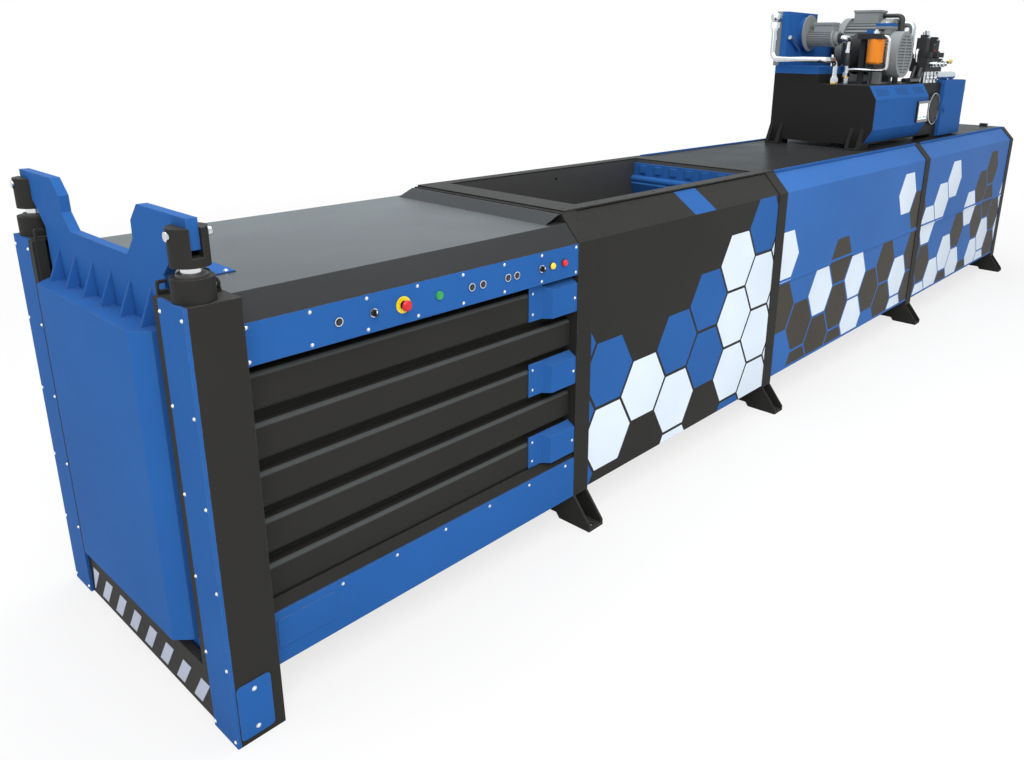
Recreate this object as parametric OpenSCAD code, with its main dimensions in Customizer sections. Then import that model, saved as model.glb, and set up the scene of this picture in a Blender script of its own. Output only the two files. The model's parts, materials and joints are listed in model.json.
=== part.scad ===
// Horizontal baler: lifting end door, bale chamber, top feed hopper, power pack on the rear deck.
// Millimetres. +X runs from the door to the rear, +Z is up, the control side faces -Y.
// Modules are drawn in stations: x is measured from the front face of the guide strips,
// y from the centre plane and z from the ground. Each sub-part moves itself into the shared frame.

/* [Body] */
// Height of the rib frames
rib_h = 1510; // [1490:5:1560]
// Depth of a rib frame along the machine
rib_d = 102; // [90:2:120]
// Inner width of the bale chamber
chamber_w = 1000; // [960:5:1040]
// Thickness of the ribbed side walls
wall_w = 110; // [105:1:120]
// Width of the slope at each top corner
corner_w = 108; // [90:2:120]
// Height of the slope at each top corner
corner_h = 115; // [100:1:125]
// Free height under the body
ground_gap = 165; // [150:5:180]
// Height of the chamber floor above the ground
floor_z = 250; // [240:2:270]
// Height of the body above the chamber
head_h = 259; // [250:1:275]
// Length of the bale chamber between the posts and the first rib
chamber_l = 1587; // [1500:5:1700]
// Length of the hopper between the ribs
hopper_l = 1745; // [1650:5:1850]
// Length of the first rear section between the ribs
rear_a_l = 2415; // [2370:5:2500]
// Length of the second rear section between the ribs
rear_b_l = 2410; // [2350:5:2500]
// Sheet thickness of the side panels
panel_t = 5; // [3:0.5:6]
// How far the side panels stand back from the ribs
panel_inset = 6; // [4:0.5:8]
// Height of the seam between lower and upper rear panels
seam_z = 812; // [750:2:860]
// Thickness of the deck plates
deck_t = 6; // [4:0.5:8]

/* [Front posts] */
// How far a front post stands out beyond the ribs
post_out = 80; // [74:1:90]
// How far the posts end below the top of the ribs
post_drop = 10; // [0:1:20]
// Depth of a front post along the machine
post_d = 170; // [160:2:190]
// Width of a front post across the machine
post_w = 175; // [168:1:182]
// Plate thickness of a front post
post_t = 15; // [10:1:18]
// Thickness of the bolted guide strips
strip_t = 12; // [8:1:16]
// How much narrower a guide strip is than its post
strip_step = 17; // [13:1:22]
// Thickness of the cover plates at the foot of the posts
cover_t = 4; // [3:0.5:6]
// Height of the sill between the posts
sill_h = 200; // [190:5:230]

/* [Door] */
// Thickness of the door plate
door_t = 33; // [25:1:40]
// How far the closed door reaches below the top of the sill
sill_lap = 15; // [8:1:25]
// How far the door reaches behind each guide bar
door_lap = 13; // [8:1:15]
// Depth of the folded box on the door
box_d = 88; // [70:2:110]
// Distance from the folded box to the guide strips
box_margin = 103; // [90:1:125]
// Width and depth of the slope at each box edge
box_slope = 51; // [30:1:60]
// Sheet thickness of the folded box
box_t = 8; // [5:1:12]
// Lower edge of the folded box
box_z = 280; // [240:5:320]
// How far the folded box ends below the top of the posts
box_drop = 127; // [110:1:150]
// Height of the gussets on the box
gusset_h = 116; // [80:2:130]
// Height of the horn arms of the door
horn_h = 90; // [70:2:110]

/* [Lift cylinders] */
// Diameter of a lift barrel
barrel_d = 92; // [84:1:96]
// Diameter of a lift rod
lift_rod_d = 58; // [50:1:62]
// Diameter of a clevis
clevis_d = 110; // [100:1:116]
// Height of a clevis
clevis_h = 110; // [104:1:120]
// Diameter of a clevis pin
pin_d = 24; // [18:1:28]

/* [Chamber beams] */
// Height of the lowest beam above the chamber floor
beam_up = 136; // [128:1:144]
// Height of the groove between two beams
slot_h = 42; // [36:1:48]
// Edge radius of a beam
beam_r = 18; // [10:1:22]
// How far the beam faces stand back from the ribs
beam_back = 46; // [42:1:52]
// Height of the control strip
strip_h = 140; // [130:1:150]

/* [Hopper and ram] */
// Distance from the chamber wall to the side of the feed opening
feed_margin = 69; // [60:1:80]
// Distance from the first hopper rib to the feed opening
feed_front = 71.5; // [60:0.5:90]
// Distance from the feed opening to the second hopper rib
feed_rear = 43.5; // [36:0.5:60]
// Thickness of the hopper rim
rim_t = 8; // [6:1:12]
// Diameter of the bolt holes in the rim
rim_hole = 14; // [10:1:18]
// Running gap at each side of the ram
ram_gap = 4; // [2:0.5:8]
// Length of the ram
ram_l = 1800; // [1700:10:1820]
// Diameter of the ram rod
ram_rod_d = 140; // [110:2:150]
// Outer diameter of the press cylinder
press_d = 270; // [250:2:300]

/* [Feet] */
// How far the feet stand out beyond the ribs
foot_out = 102; // [96:1:120]
// Diameter of the anchor holes
anchor_d = 22; // [18:1:28]
// Distance from the rib face out to an anchor hole
anchor_out = 70; // [60:1:76]

/* [Controls] */
// Diameter of a control bezel
bezel_d = 30; // [26:1:34]
// Diameter of the emergency stop disc
stop_disc_d = 62; // [56:1:68]
// Diameter of the emergency stop head
stop_d = 40; // [36:1:44]

/* [Power pack] */
// Length of the oil tank
tank_l = 1595; // [1560:5:1620]
// Width of the oil tank
tank_w = 774; // [754:2:790]
// Height of the oil tank
tank_h = 435; // [415:5:450]
// Distance from the last but one rib back to the front of the tank
tank_ahead = 811; // [780:1:840]
// Length of the tank that the kinked cover leaves bare
bare_l = 453; // [440:1:480]
// How far the tank cover bulges
bulge = 61; // [50:1:70]
// Length of the cabinet
cabinet_l = 570; // [540:2:600]
// Depth of the cabinet
cabinet_d = 200; // [180:2:220]
// Height of the cabinet
cabinet_h = 480; // [460:5:500]
// Length of the oil cooler
cooler_l = 517; // [500:1:540]
// Height of the oil cooler
cooler_h = 402; // [380:2:420]
// Diameter of the large pump motor
motor_a_d = 420; // [400:2:430]
// Diameter of the small pump motor
motor_b_d = 350; // [330:2:356]

/* [Hidden] */
$fn = 64;
// Seat gap between a moving piece and the face that carries it
fit = 0.3;
// Gap round a rod or pin that runs in a bore
bore_fit = 0.1;
// Free gap between a moving piece and its guide
guide_gap = 3;
// Overlap that carries a cutting tool through a face
past = 1;
// Paint and metal shades of the preview
blue = "#2f66b8";
black = "#34332f";
steel = "#a9adb0";
grey = "#80868a";
yellow = "#e8c51c";
red = "#c3231c";
green = "#2c8a45";
orange = "#e8861a";
dark = "#1d1e20";

hc = chamber_w / 2;
hr = hc + wall_w;
hp = hr + post_out;
post_h = rib_h - post_drop;
post_in = hp - post_w;
strip_in = post_in + strip_step;
// Gap between a lift barrel and the plates of its post
barrel_gap = 4;
rod_x = strip_t + 7.5 + barrel_d / 2;
rod_y = hp - post_t - barrel_gap - barrel_d / 2;
door_x = rod_x - door_t / 2;
door_back = door_x + door_t;
door_hw = strip_in + door_lap;
door_z = sill_h - sill_lap;
// How far a guide bar shows beside its strip
guide_show = 35;
guide_bar_w = 18;
guide_bar_d = door_x - guide_gap - strip_t;
cap_t = 15;
gland_h = 72;
clevis_z = post_h + gland_h + 30;
pin_z = clevis_z + clevis_h - 22;
horn_z = pin_z - 41;
box_hw = strip_in - box_margin;
box_top = post_h - box_drop;
box_front = door_x - box_d;
neck_hw = box_hw + 51;

rib_x = [
    post_d + chamber_l,
    post_d + chamber_l + rib_d + hopper_l,
    post_d + chamber_l + 2 * rib_d + hopper_l + rear_a_l,
    post_d + chamber_l + 3 * rib_d + hopper_l + rear_a_l + rear_b_l
];
rear_x = rib_x[3] + rib_d;
// The shared frame starts at the middle of the length
front_x = -(box_front + rear_x) / 2;

ceiling_z = rib_h - head_h;
beam_n = 5;
beam_z = floor_z + beam_up;
beam_pitch = (ceiling_z - beam_z) / beam_n;
beam_h = beam_pitch - slot_h;
beam_wall = 10;
beam_face = hr - beam_back;
side_t = 12;
strip_top = ceiling_z + strip_h;
strip_out = hr - 2;
strip_back = 8;
strip_face = strip_out - strip_back;
channel_t = 8;
roof_t = 6;
roof_z = rib_h - 40;
band_w = (roof_z - strip_top) * corner_w / corner_h;
rail_z0 = ground_gap - 8;
rail_z1 = beam_z - 26;
floor_t = 12;
deck_z = rib_h - deck_t;
seat_t = 10;

feed_x0 = rib_x[0] + rib_d + feed_front;
feed_x1 = rib_x[1] - feed_rear;
feed_hw = hc - feed_margin;
wall_t = 12;
rim_x0 = rib_x[0] + 20;
rim_x1 = rib_x[1] + rib_d - 20;
rim_hw = hr - corner_w;
// Inner edge of the panel flanges, clear of the chute walls
flange_in = max(rim_hw - 50, feed_hw + wall_t + 4);

ram_x = rib_x[1] - 14;
ram_hw = hc - ram_gap;
ram_z0 = floor_z + fit;
ram_z1 = ceiling_z - ram_gap - 2;
axis_z = (ram_z0 + ram_z1) / 2;
press_x = ram_x + ram_l + 170;
press_end = rib_x[3] - 60;
press_bore = press_d - 50;

tank_x = rib_x[2] - tank_ahead;
tank_end = tank_x + tank_l;
tank_hw = tank_w / 2;
tank_z0 = rib_h + 35;
tank_z1 = tank_z0 + tank_h;
tank_t = 6;
plate_t = 6;
cover_x1 = tank_end - bare_l;
cover_y = tank_hw + bulge;
cover_sheet = 4;
// Flat face of the cover between its two slopes
flat_z0 = tank_z0 + 115;
flat_z1 = tank_z1 - 100;
cover_path = [
    [tank_hw, tank_z1 - 2],
    [cover_y, flat_z1],
    [cover_y, flat_z0],
    [tank_hw, tank_z0 + 11]
];

cabinet_x = tank_end + 5;
cabinet_x1 = cabinet_x + cabinet_l;
cabinet_y = tank_hw + 15;
cabinet_y0 = cabinet_y - cabinet_d;
cabinet_z = rib_h + 10;
cabinet_z1 = cabinet_z + cabinet_h;
cabinet_t = 4;
door_fold = 18;
hinge_x = cabinet_x1 + 7;
hinge_y = cabinet_y + 11;
hinge_d = 12;
hinge_pin_d = 6;
hinge_l = 20;
hinge_z = [cabinet_z + 70, cabinet_z1 - 110];

cooler_x = tank_x + 10;
cooler_x1 = cooler_x + cooler_l;
cooler_y = tank_hw - 18;
cooler_y1 = cooler_y + 46;
shroud_y = cooler_y - 47;
// The cooler stands on a tray over the front of the tank
tray_y = shroud_y - 295;
stand_z = tank_z1 + 71;
cooler_z = stand_z + 57;
cooler_z1 = cooler_z + cooler_h;
collar_d = 0.6 * cooler_h;
fan_x = cooler_x + 0.6 * cooler_l;
fan_z = cooler_z + 0.62 * cooler_h;
fan_disc_d = 0.68 * cooler_h;
fan_disc_y = shroud_y - 41;
// The fan motor hangs low on its disc
fan_motor_d = 146;
fan_motor_z = fan_z - 38;
fan_motor_y = fan_disc_y - 8;
fan_end_y = fan_motor_y - 215;
fan_pump_y = fan_end_y - 50;
// Upright pipe below the fan pump
fan_pipe_x = fan_x + 73;
fan_pipe_y = fan_pump_y - 33;

motor_a_x = tank_x + 1060;
motor_a_z = tank_z1 + motor_a_d / 2 + 92;
motor_a_y0 = -tank_hw + 257;
motor_a_y1 = tank_hw - 97;
motor_b_x = motor_a_x - (motor_a_d + motor_b_d) / 2;
motor_b_z = tank_z1 + motor_b_d / 2 + 50;
motor_b_y0 = -tank_hw + 17;
motor_b_y1 = motor_b_y0 + 260;
terminal_y = motor_a_y0 + 230;
terminal_z = motor_a_z + motor_a_d / 2 - 14;
terminal_h = 80;
terminal_w = 160;
terminal_l = 210;
small_box_w = 110;
small_box_y = motor_b_y0 + 172;
small_box_z = motor_b_z + motor_b_d / 2 + 36;
// Bell housings between the motors and their pumps
bell_a_l = 20;
bell_b_l = 140;
pump_a_y = motor_a_y1 + bell_a_l + 60;
pump_b_y = motor_b_y1 + bell_b_l + 60;
pump_w = 150;
pump_h = 170;

filter_x = motor_b_x - motor_b_d / 2 - 95;
filter_y = -tank_hw + 147;
filter_d = 124;
filter_z = tank_z1 + 150;
head_z = filter_z + 185;
valve_x = tank_end - 405;
valve_l = 380;
valve_y = -tank_hw + 10;
valve_d = 140;
valve_z = tank_z1 + 92;
valve_h = 108;
valve_top = valve_z + valve_h;
// Upright pipe bow on the rear part of the valve block
bow_x = valve_x + 160;
bow_y = valve_y + 214;
bow_r = 40;
bow_w = 2 * bow_r + 10;

// Controls on the strip, as parts of the chamber length behind the front posts
button_at = [0.229, 0.502, 0.602, 0.638, 0.724, 0.756];
selector_at = [0.317, 0.849];
stop_at = 0.398;
lamp_at = [0.892, 0.94];
control_z = ceiling_z + strip_h / 2 + 1;
neck_d = bezel_d - 8;
cap_d = bezel_d - 13.4;
bezel_t = 6;
cap_out = 9;
stop_base = 3;

function unit(v) = v / norm(v);
function left_of(a, b) = let (d = unit(b - a)) [-d[1], d[0]];
// Point i of a path moved to its left by t, mitred at the folds
function shifted(path, i, t) =
    let (
        last = len(path) - 1,
        k = max(i - 1, 0),
        m = min(i, last - 1),
        n1 = left_of(path[k], path[k + 1]),
        n2 = left_of(path[m], path[m + 1])
    ) path[i] + (n1 + n2) * t / (1 + n1 * n2);
function shifted_path(path, t) = [for (i = [0 : len(path) - 1]) shifted(path, i, t)];
function reversed(path) = [for (i = [len(path) - 1 : -1 : 0]) path[i]];
// Any direction square to v
function square_to(v) = unit(abs(v[2]) < 0.9 ? cross(v, [0, 0, 1]) : cross(v, [1, 0, 0]));

// Moves stations into the shared frame
module placed() translate([front_x, 0, 0]) children();

module block(x0, x1, y0, y1, z0, z1) translate([x0, y0, z0]) cube([x1 - x0, y1 - y0, z1 - z0]);

// Copies on both long sides
module both_sides() {
    children();
    mirror([0, 1, 0]) children();
}

// The long side with the controls
module control_side() mirror([0, 1, 0]) children();

// Profile in y and z drawn from x0 to x1
module along_x(x0, x1) translate([x0, 0, 0]) rotate([90, 0, 90]) linear_extrude(x1 - x0) children();

// Profile in x and z drawn from y0 to y1
module along_y(y0, y1) translate([0, y1, 0]) rotate([90, 0, 0]) linear_extrude(y1 - y0) children();

// Profile in x and y drawn from z0 to z1
module along_z(z0, z1) translate([0, 0, z0]) linear_extrude(z1 - z0) children();

// Round pieces along one axis
module drum_x(y, z, x0, x1, d) translate([x0, y, z]) rotate([0, 90, 0]) cylinder(d = d, h = x1 - x0);
module drum_y(x, z, y0, y1, d) translate([x, y1, z]) rotate([90, 0, 0]) cylinder(d = d, h = y1 - y0);
module drum_z(x, y, z0, z1, d) translate([x, y, z0]) cylinder(d = d, h = z1 - z0);

// Folded sheet along a path, its thickness to the left
module sheet(path, t) polygon(concat(path, reversed(shifted_path(path, t))));

// Rectangle from a to b with round corners
module rounded(a, b, r) {
    translate([a[0] + r, a[1]]) square([b[0] - a[0] - 2 * r, b[1] - a[1]]);
    translate([a[0], a[1] + r]) square([b[0] - a[0], b[1] - a[1] - 2 * r]);
    for (x = [a[0] + r, b[0] - r], y = [a[1] + r, b[1] - r]) translate([x, y]) circle(r);
}

// Turns local axes onto e1, e2, e3 at point p
module framed(p, e1, e2, e3) {
    multmatrix([
        [e1[0], e2[0], e3[0], p[0]],
        [e1[1], e2[1], e3[1], p[1]],
        [e1[2], e2[2], e3[2], p[2]]
    ]) children();
}

// Straight pipe from p to q
module straight(p, q, d) {
    e3 = unit(q - p);
    e1 = square_to(e3);
    framed(p, e1, cross(e3, e1), e3) cylinder(d = d, h = norm(q - p));
}

// Round bend at corner p between the unit directions a and b
module bend(p, a, b, d, r) {
    turn = acos(a * b);
    n = unit(b - a * (a * b));
    start = p - a * r * tan(turn / 2);
    framed(start + n * r, -n, a, cross(-n, a)) rotate_extrude(angle = turn) translate([r, 0]) circle(d = d);
}

// Pipe through points with round bends
module pipe(points, d, r) {
    last = len(points) - 1;
    dirs = [for (i = [0 : last - 1]) unit(points[i + 1] - points[i])];
    cut = [for (i = [0 : last])
        (i == 0 || i == last) ? 0 : r * tan(acos(dirs[i - 1] * dirs[i]) / 2)];
    for (i = [0 : last - 1]) {
        straight(points[i] + dirs[i] * cut[i], points[i + 1] - dirs[i] * cut[i + 1], d);
    }
    for (i = [1 : last - 1]) bend(points[i], dirs[i - 1], dirs[i], d, r);
}

// Floor of the whole channel with the two stringers that rest on the feet
module base_frame() color(black) placed() {
    stringer_y = hc - 100;
    stringer_w = 60;
    sill_hw = min(hc, post_in);
    block(door_back + guide_gap, rear_x, -sill_hw, sill_hw, floor_z - floor_t, floor_z);
    block(post_d, rear_x, -hc, hc, floor_z - floor_t, floor_z);
    both_sides() difference() {
        block(post_d, rear_x, stringer_y, stringer_y + stringer_w, ground_gap, floor_z - floor_t);
        block(post_d - past, rear_x + past, stringer_y + 8, stringer_y + stringer_w + past,
            ground_gap + 8, floor_z - floor_t - 8);
    }
}

// Folded column on the +Y side with the slot that guides the door
module front_post() {
    difference() {
        union() {
            block(strip_t, post_d, hp - post_t, hp, 0, post_h);
            block(post_d - post_t, post_d, post_in, hp, 0, post_h);
            block(strip_t, strip_t + post_t, rod_y + 0.36 * barrel_d, hp, 0, post_h);
            block(strip_t, strip_t + guide_bar_d, strip_in, strip_in + guide_bar_w, 0, post_h);
            block(strip_t, strip_t + guide_bar_d, strip_in - guide_show, strip_in + past, sill_h, post_h);
            block(door_back + fit, post_d, post_in, post_in + post_t, 0, post_h);
            block(strip_t, post_d, post_in, hp, 0, cap_t);
            block(strip_t, post_d, post_in, hp, post_h - cap_t, post_h);
        }
        block(strip_t + guide_bar_d, door_back + fit, post_in - past, door_hw + guide_gap,
            post_h - cap_t - past, post_h + past);
        drum_z(rod_x, rod_y, post_h - cap_t - past, post_h + past, barrel_d + 2 * fit);
    }
}

module front_post_left() color(black) placed() control_side() front_post();

module front_post_right() color(black) placed() front_post();

module guide_strips() color(blue) placed() both_sides() block(0, strip_t, strip_in, hp, 0, post_h);

// Rounded plates at the foot of the posts and the small plate on the roof
module cover_plates() color(blue) placed() {
    both_sides() along_y(hp, hp + cover_t) {
        rounded([strip_t + 2, 0.11 * sill_h], [0.776 * post_d, 1.15 * sill_h], 14);
    }
    block(post_d + 88, post_d + 186, -0.6 * hc, -0.28 * hc, roof_z, roof_z + cover_t);
}

// Sill under the door and header behind it
module front_crossbeams() color(black) placed() {
    sill_d = 30;
    header_d = 60;
    header_h = 134;
    header_z = roof_z - roof_t;
    lip = 12;
    difference() {
        block(strip_t, strip_t + sill_d, -post_in, post_in, 0, sill_h);
        block(strip_t + lip, strip_t + sill_d + past, -post_in - past, post_in + past, lip, sill_h - lip);
    }
    difference() {
        block(post_d - header_d, post_d, -post_in, post_in, header_z - header_h, header_z);
        block(post_d - header_d + lip, post_d + past, -post_in - past, post_in + past,
            header_z - header_h + lip, header_z - lip);
    }
}

// Section of a hollow beam with its lower edge at z
module beam_section(z) difference() {
    union() {
        translate([hc, z]) square([beam_face - hc - beam_r, beam_h]);
        rounded([beam_face - 2 * beam_r - past, z], [beam_face, z + beam_h], beam_r);
    }
    translate([hc + side_t, z + beam_wall]) {
        square([beam_face - hc - side_t - beam_wall, beam_h - 2 * beam_wall]);
    }
}

// Side plate of the chamber on the +Y side with its beams, top channel and lower ledge
module chamber_side() {
    ledge = 6;
    along_x(post_d, rib_x[0]) {
        translate([hc, floor_z - floor_t]) square([side_t, strip_top - floor_z + floor_t]);
        for (k = [0 : beam_n - 1]) beam_section(beam_z + k * beam_pitch);
        translate([hc, ceiling_z]) square([strip_face - hc, channel_t]);
        translate([hc, strip_top - channel_t]) square([strip_face - hc, channel_t]);
        polygon([
            [hc, rail_z1 - ledge],
            [strip_face, rail_z1 - ledge],
            [strip_face, rail_z1],
            [beam_face, beam_z],
            [hc, beam_z]
        ]);
    }
}

module side_beams_left() color(black) placed() control_side() chamber_side();

module side_beams_right() color(black) placed() chamber_side();

// Folded guards at the rear ends of three beams a side
module retainer_covers() color(blue) placed() both_sides() for (k = [0, 2, 4]) {
    x1 = rib_x[0];
    x0 = x1 - 0.17 * chamber_l;
    z0 = beam_z + k * beam_pitch + 6;
    z1 = z0 + beam_h + slot_h / 2;
    t = 5;
    out = beam_face + 0.91 * beam_back;
    slope_x = x0 + 73;
    slope_l = 37;
    slope_h = 24;
    block(x0, slope_x + 2 * t, beam_face, beam_face + t, z0, z1);
    difference() {
        intersection() {
            along_z(z0, z1) polygon([
                [slope_x, beam_face], [slope_x + slope_l, out], [x1, out], [x1, beam_face]
            ]);
            along_x(slope_x, x1) polygon([
                [beam_face, z0], [out, z0], [out, z1 - slope_h], [beam_face, z1]
            ]);
        }
        intersection() {
            along_z(z0 - past, z1) polygon([
                [slope_x + 2 * t, beam_face - past], [slope_x + slope_l + t, out - t],
                [x1 + past, out - t], [x1 + past, beam_face - past]
            ]);
            along_x(slope_x, x1 + past) polygon([
                [beam_face - past, z0 - past], [out - t, z0 - past], [out - t, z1 - slope_h - t],
                [beam_face - past, z1 - t]
            ]);
        }
    }
}

// Bottom rails, the access plate on the control side, and the blank strip on the far side
module side_rails() color(blue) placed() {
    both_sides() block(post_d, rib_x[0], strip_face, strip_out, rail_z0, rail_z1);
    control_side() along_y(strip_out, strip_out + 3) {
        rounded([post_d + 46, rail_z0 + 0.3 * (rail_z1 - rail_z0)], [post_d + 278, rail_z1 - 30], 12);
    }
    block(post_d, rib_x[0], strip_face, strip_out, ceiling_z, strip_top);
}

// Chamber roof with sloped edges, inner ceiling and flashing at the hopper
module roof() color(black) placed() {
    outer = [
        [strip_out, strip_top],
        [strip_out - band_w, roof_z],
        [band_w - strip_out, roof_z],
        [-strip_out, strip_top]
    ];
    inner = [
        [strip_face, strip_top],
        shifted(outer, 1, roof_t),
        shifted(outer, 2, roof_t),
        [-strip_face, strip_top]
    ];
    rise = rib_h - 4;
    along_x(post_d, rib_x[0]) polygon(concat(outer, reversed(inner)));
    block(door_back + 10, post_d, -post_in, post_in, roof_z - roof_t, roof_z);
    along_y(-rim_hw, rim_hw) {
        sheet([[rib_x[0], rise], [rib_x[0] - 17, rise], [rib_x[0] - 107, roof_z - 1]], 4);
    }
    block(post_d, rib_x[0], -hc, hc, ceiling_z, ceiling_z + channel_t);
}

// Blue strip on the control side with the bores of the controls
module control_panel() color(blue) placed() control_side() difference() {
    block(post_d, rib_x[0], strip_face, strip_out, ceiling_z, strip_top);
    for (f = concat(button_at, selector_at, lamp_at, [stop_at])) {
        on_strip(f, -strip_back - past, past, neck_d + 2 * fit);
    }
}

// Outline of a rib frame, from one foot over the sloped corners to the other
function rib_outline() = [
    [hr, ground_gap],
    [hr, rib_h - corner_h],
    [hr - corner_w, rib_h],
    [corner_w - hr, rib_h],
    [-hr, rib_h - corner_h],
    [-hr, ground_gap]
];

module rib_frames() color(black) placed() for (x = rib_x) difference() {
    along_x(x, x + rib_d) polygon(rib_outline());
    block(x - past, x + rib_d + past, -hc, hc, ground_gap - past, ceiling_z);
}

// Side of a covered section: flange under the deck, sloped corner, flat face, down to height z0
function panel_path(z0) = [
    [hr, z0],
    [hr, rib_h - corner_h],
    [hr - corner_w, rib_h],
    [flange_in, rib_h]
];

module panel(x0, x1, path) along_x(x0, x1) sheet(shifted_path(path, panel_inset), panel_t);

module hopper_panels() color(black) placed() both_sides() {
    panel(rib_x[0] + rib_d, rib_x[1], panel_path(ground_gap + 2));
}

// Bolted rim on top of the hopper
module hopper_rim() color(black) placed() {
    edge = 36;
    difference() {
        block(rim_x0, rim_x1, -rim_hw, rim_hw, rib_h, rib_h + rim_t);
        block(feed_x0, feed_x1, -feed_hw, feed_hw, rib_h - past, rib_h + rim_t + past);
        for (i = [0 : 8], s = [-1, 1]) {
            drum_z(rim_x0 + edge + i * (rim_x1 - rim_x0 - 2 * edge) / 8, s * (rim_hw - edge),
                rib_h - past, rib_h + rim_t + past, rim_hole);
        }
    }
}

// Chute walls below the rim and the side plates of the loading zone
module hopper_walls() color(black) placed() {
    x0 = rib_x[0] + rib_d;
    x1 = rib_x[1];
    both_sides() {
        block(x0, x1, hc, hc + wall_t, floor_z - floor_t, ceiling_z);
        difference() {
            union() {
                block(feed_x0, feed_x1, feed_hw, feed_hw + wall_t, ceiling_z, rib_h);
                block(feed_x0, feed_x1, feed_hw, hc + wall_t, ceiling_z, ceiling_z + wall_t);
            }
            drum_y(feed_x0 + 0.515 * (feed_x1 - feed_x0), rib_h - 53,
                feed_hw - past, feed_hw + wall_t + past, 20);
        }
    }
    block(x0, feed_x0, -hc - wall_t, hc + wall_t, ceiling_z, ceiling_z + wall_t);
    block(feed_x0 - wall_t, feed_x0, -feed_hw - wall_t, feed_hw + wall_t, ceiling_z + wall_t, rib_h);
    block(feed_x1, x1, -hc - wall_t, hc + wall_t, ceiling_z, ceiling_z + wall_t);
    block(feed_x1, feed_x1 + wall_t, -feed_hw - wall_t, feed_hw + wall_t, ceiling_z + wall_t, rib_h);
}

// Blue counter beam on the rear chute wall: bolted band with lugs, round bar and sloped plate
module shear_beam() color(blue) placed() {
    band_z = rib_h - 20;
    band_t = 14;
    foot_z = ceiling_z + 24;
    lug_w = 46;
    lug_pitch = feed_hw / 3.65;
    along_y(-feed_hw, feed_hw) polygon([
        [feed_x1, foot_z],
        [feed_x1, band_z],
        [feed_x1 - band_t, band_z],
        [feed_x1 - band_t, band_z - 92],
        [feed_x1 - 46, band_z - 132],
        [feed_x1 - band_t, foot_z]
    ]);
    drum_y(feed_x1 - 24, band_z - 104, -feed_hw, feed_hw, 44);
    for (i = [-3 : 3]) {
        y = i * lug_pitch;
        block(feed_x1 - 24, feed_x1 - 10, y - lug_w / 2, y + lug_w / 2, band_z - 62, band_z - band_t);
    }
}

// Upper panels of the two rear sections, with a drip fold at the seam
module upper_panels() color(blue) placed() both_sides() for (i = [1, 2]) {
    fold = 5;
    path = concat(
        [[hr + fold, seam_z], [hr + fold, seam_z + 14], [hr, seam_z + 28]],
        [for (j = [1 : 3]) panel_path(seam_z)[j]]
    );
    panel(rib_x[i] + rib_d, rib_x[i + 1], path);
}

module lower_panels() color(blue) placed() both_sides() for (i = [1, 2]) {
    z0 = ground_gap + 26;
    panel(rib_x[i] + rib_d, rib_x[i + 1], [[hr - 40, z0], [hr, z0], [hr, seam_z - 4]]);
}

// Deck plates between the ribs and the low lifting blocks at the rear
module deck_plates() color(black) placed() {
    plates = 4;
    seam = 3;
    lug_l = 64;
    lug_y = 0.56 * hc;
    lug_w = 66;
    lug_h = 26;
    lug_x = rib_x[3] + (rib_d - lug_l) / 2;
    for (i = [1, 2], k = [0 : plates - 1]) {
        x0 = rib_x[i] + rib_d;
        l = (rib_x[i + 1] - x0) / plates;
        block(x0 + k * l + (k == 0 ? 0 : seam / 2), x0 + (k + 1) * l - (k == plates - 1 ? 0 : seam / 2),
            -rim_hw + 2, rim_hw - 2, deck_z, rib_h);
    }
    both_sides() difference() {
        block(lug_x, lug_x + lug_l, lug_y, lug_y + lug_w, rib_h, rib_h + lug_h);
        drum_z(lug_x + lug_l / 2, lug_y + lug_w / 2, rib_h + 6, rib_h + lug_h + past, 20);
    }
}

// Gusset plates, ground plates and seat under each rib
module saddle_feet() color(black) placed() for (x = rib_x) {
    foot_hw = hr + foot_out;
    t = 12;
    step = hr - 90;
    slope = 20;
    arch_h = 25;
    ankle = 30;
    top = ground_gap - seat_t;
    both_sides() for (x0 = [x, x + rib_d - t]) {
        along_x(x0, x0 + t) polygon([
            [0, arch_h], [step - slope, arch_h], [step, 0], [foot_hw, 0], [foot_hw, ankle],
            [hr, top], [0, top]
        ]);
    }
    block(x, x + rib_d, -hr, hr, top, ground_gap);
    both_sides() difference() {
        block(x + t, x + rib_d - t, step + slope, foot_hw, 0, t);
        drum_z(x + rib_d / 2, hr + anchor_out, -past, t + past, anchor_d);
    }
}

// End plate that takes the thrust of the press cylinder
module rear_plate() color(black) placed() {
    pocket_y = 0.6 * hc;
    pocket_hw = 0.3 * hc;
    edge = 60;
    web = 30;
    difference() {
        block(rib_x[3], rear_x - 20, -hc, hc, floor_z, ceiling_z);
        for (s = [-1, 1], z = [[floor_z + edge, axis_z - edge], [axis_z + edge, ceiling_z - edge]]) {
            block(rib_x[3] + web, rear_x, s * pocket_y - pocket_hw, s * pocket_y + pocket_hw, z[0], z[1]);
        }
    }
}

// Half outline of the door plate, from its lower edge to the middle of its top
function door_half() = [
    [door_hw, door_z],
    [door_hw, box_top - 33],
    [neck_hw, box_top],
    [neck_hw, horn_z - 99],
    [rod_y - 60, horn_z - 17],
    [rod_y - 25, horn_z],
    [rod_y + 38, horn_z],
    [rod_y + 38, horn_z + horn_h],
    [rod_y - 274, horn_z + horn_h],
    [rod_y - 331, horn_z + 35],
    [rod_y - 334, horn_z - 23],
    [rod_y - 393, horn_z - 81]
];

module door_plate() color(blue) placed() difference() {
    along_x(door_x, door_back) polygon(
        concat(door_half(), reversed([for (p = door_half()) [-p[0], p[1]]]))
    );
    both_sides() drum_x(rod_y, pin_z, door_x - past, door_back + past, pin_d + 2 * bore_fit);
}

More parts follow.
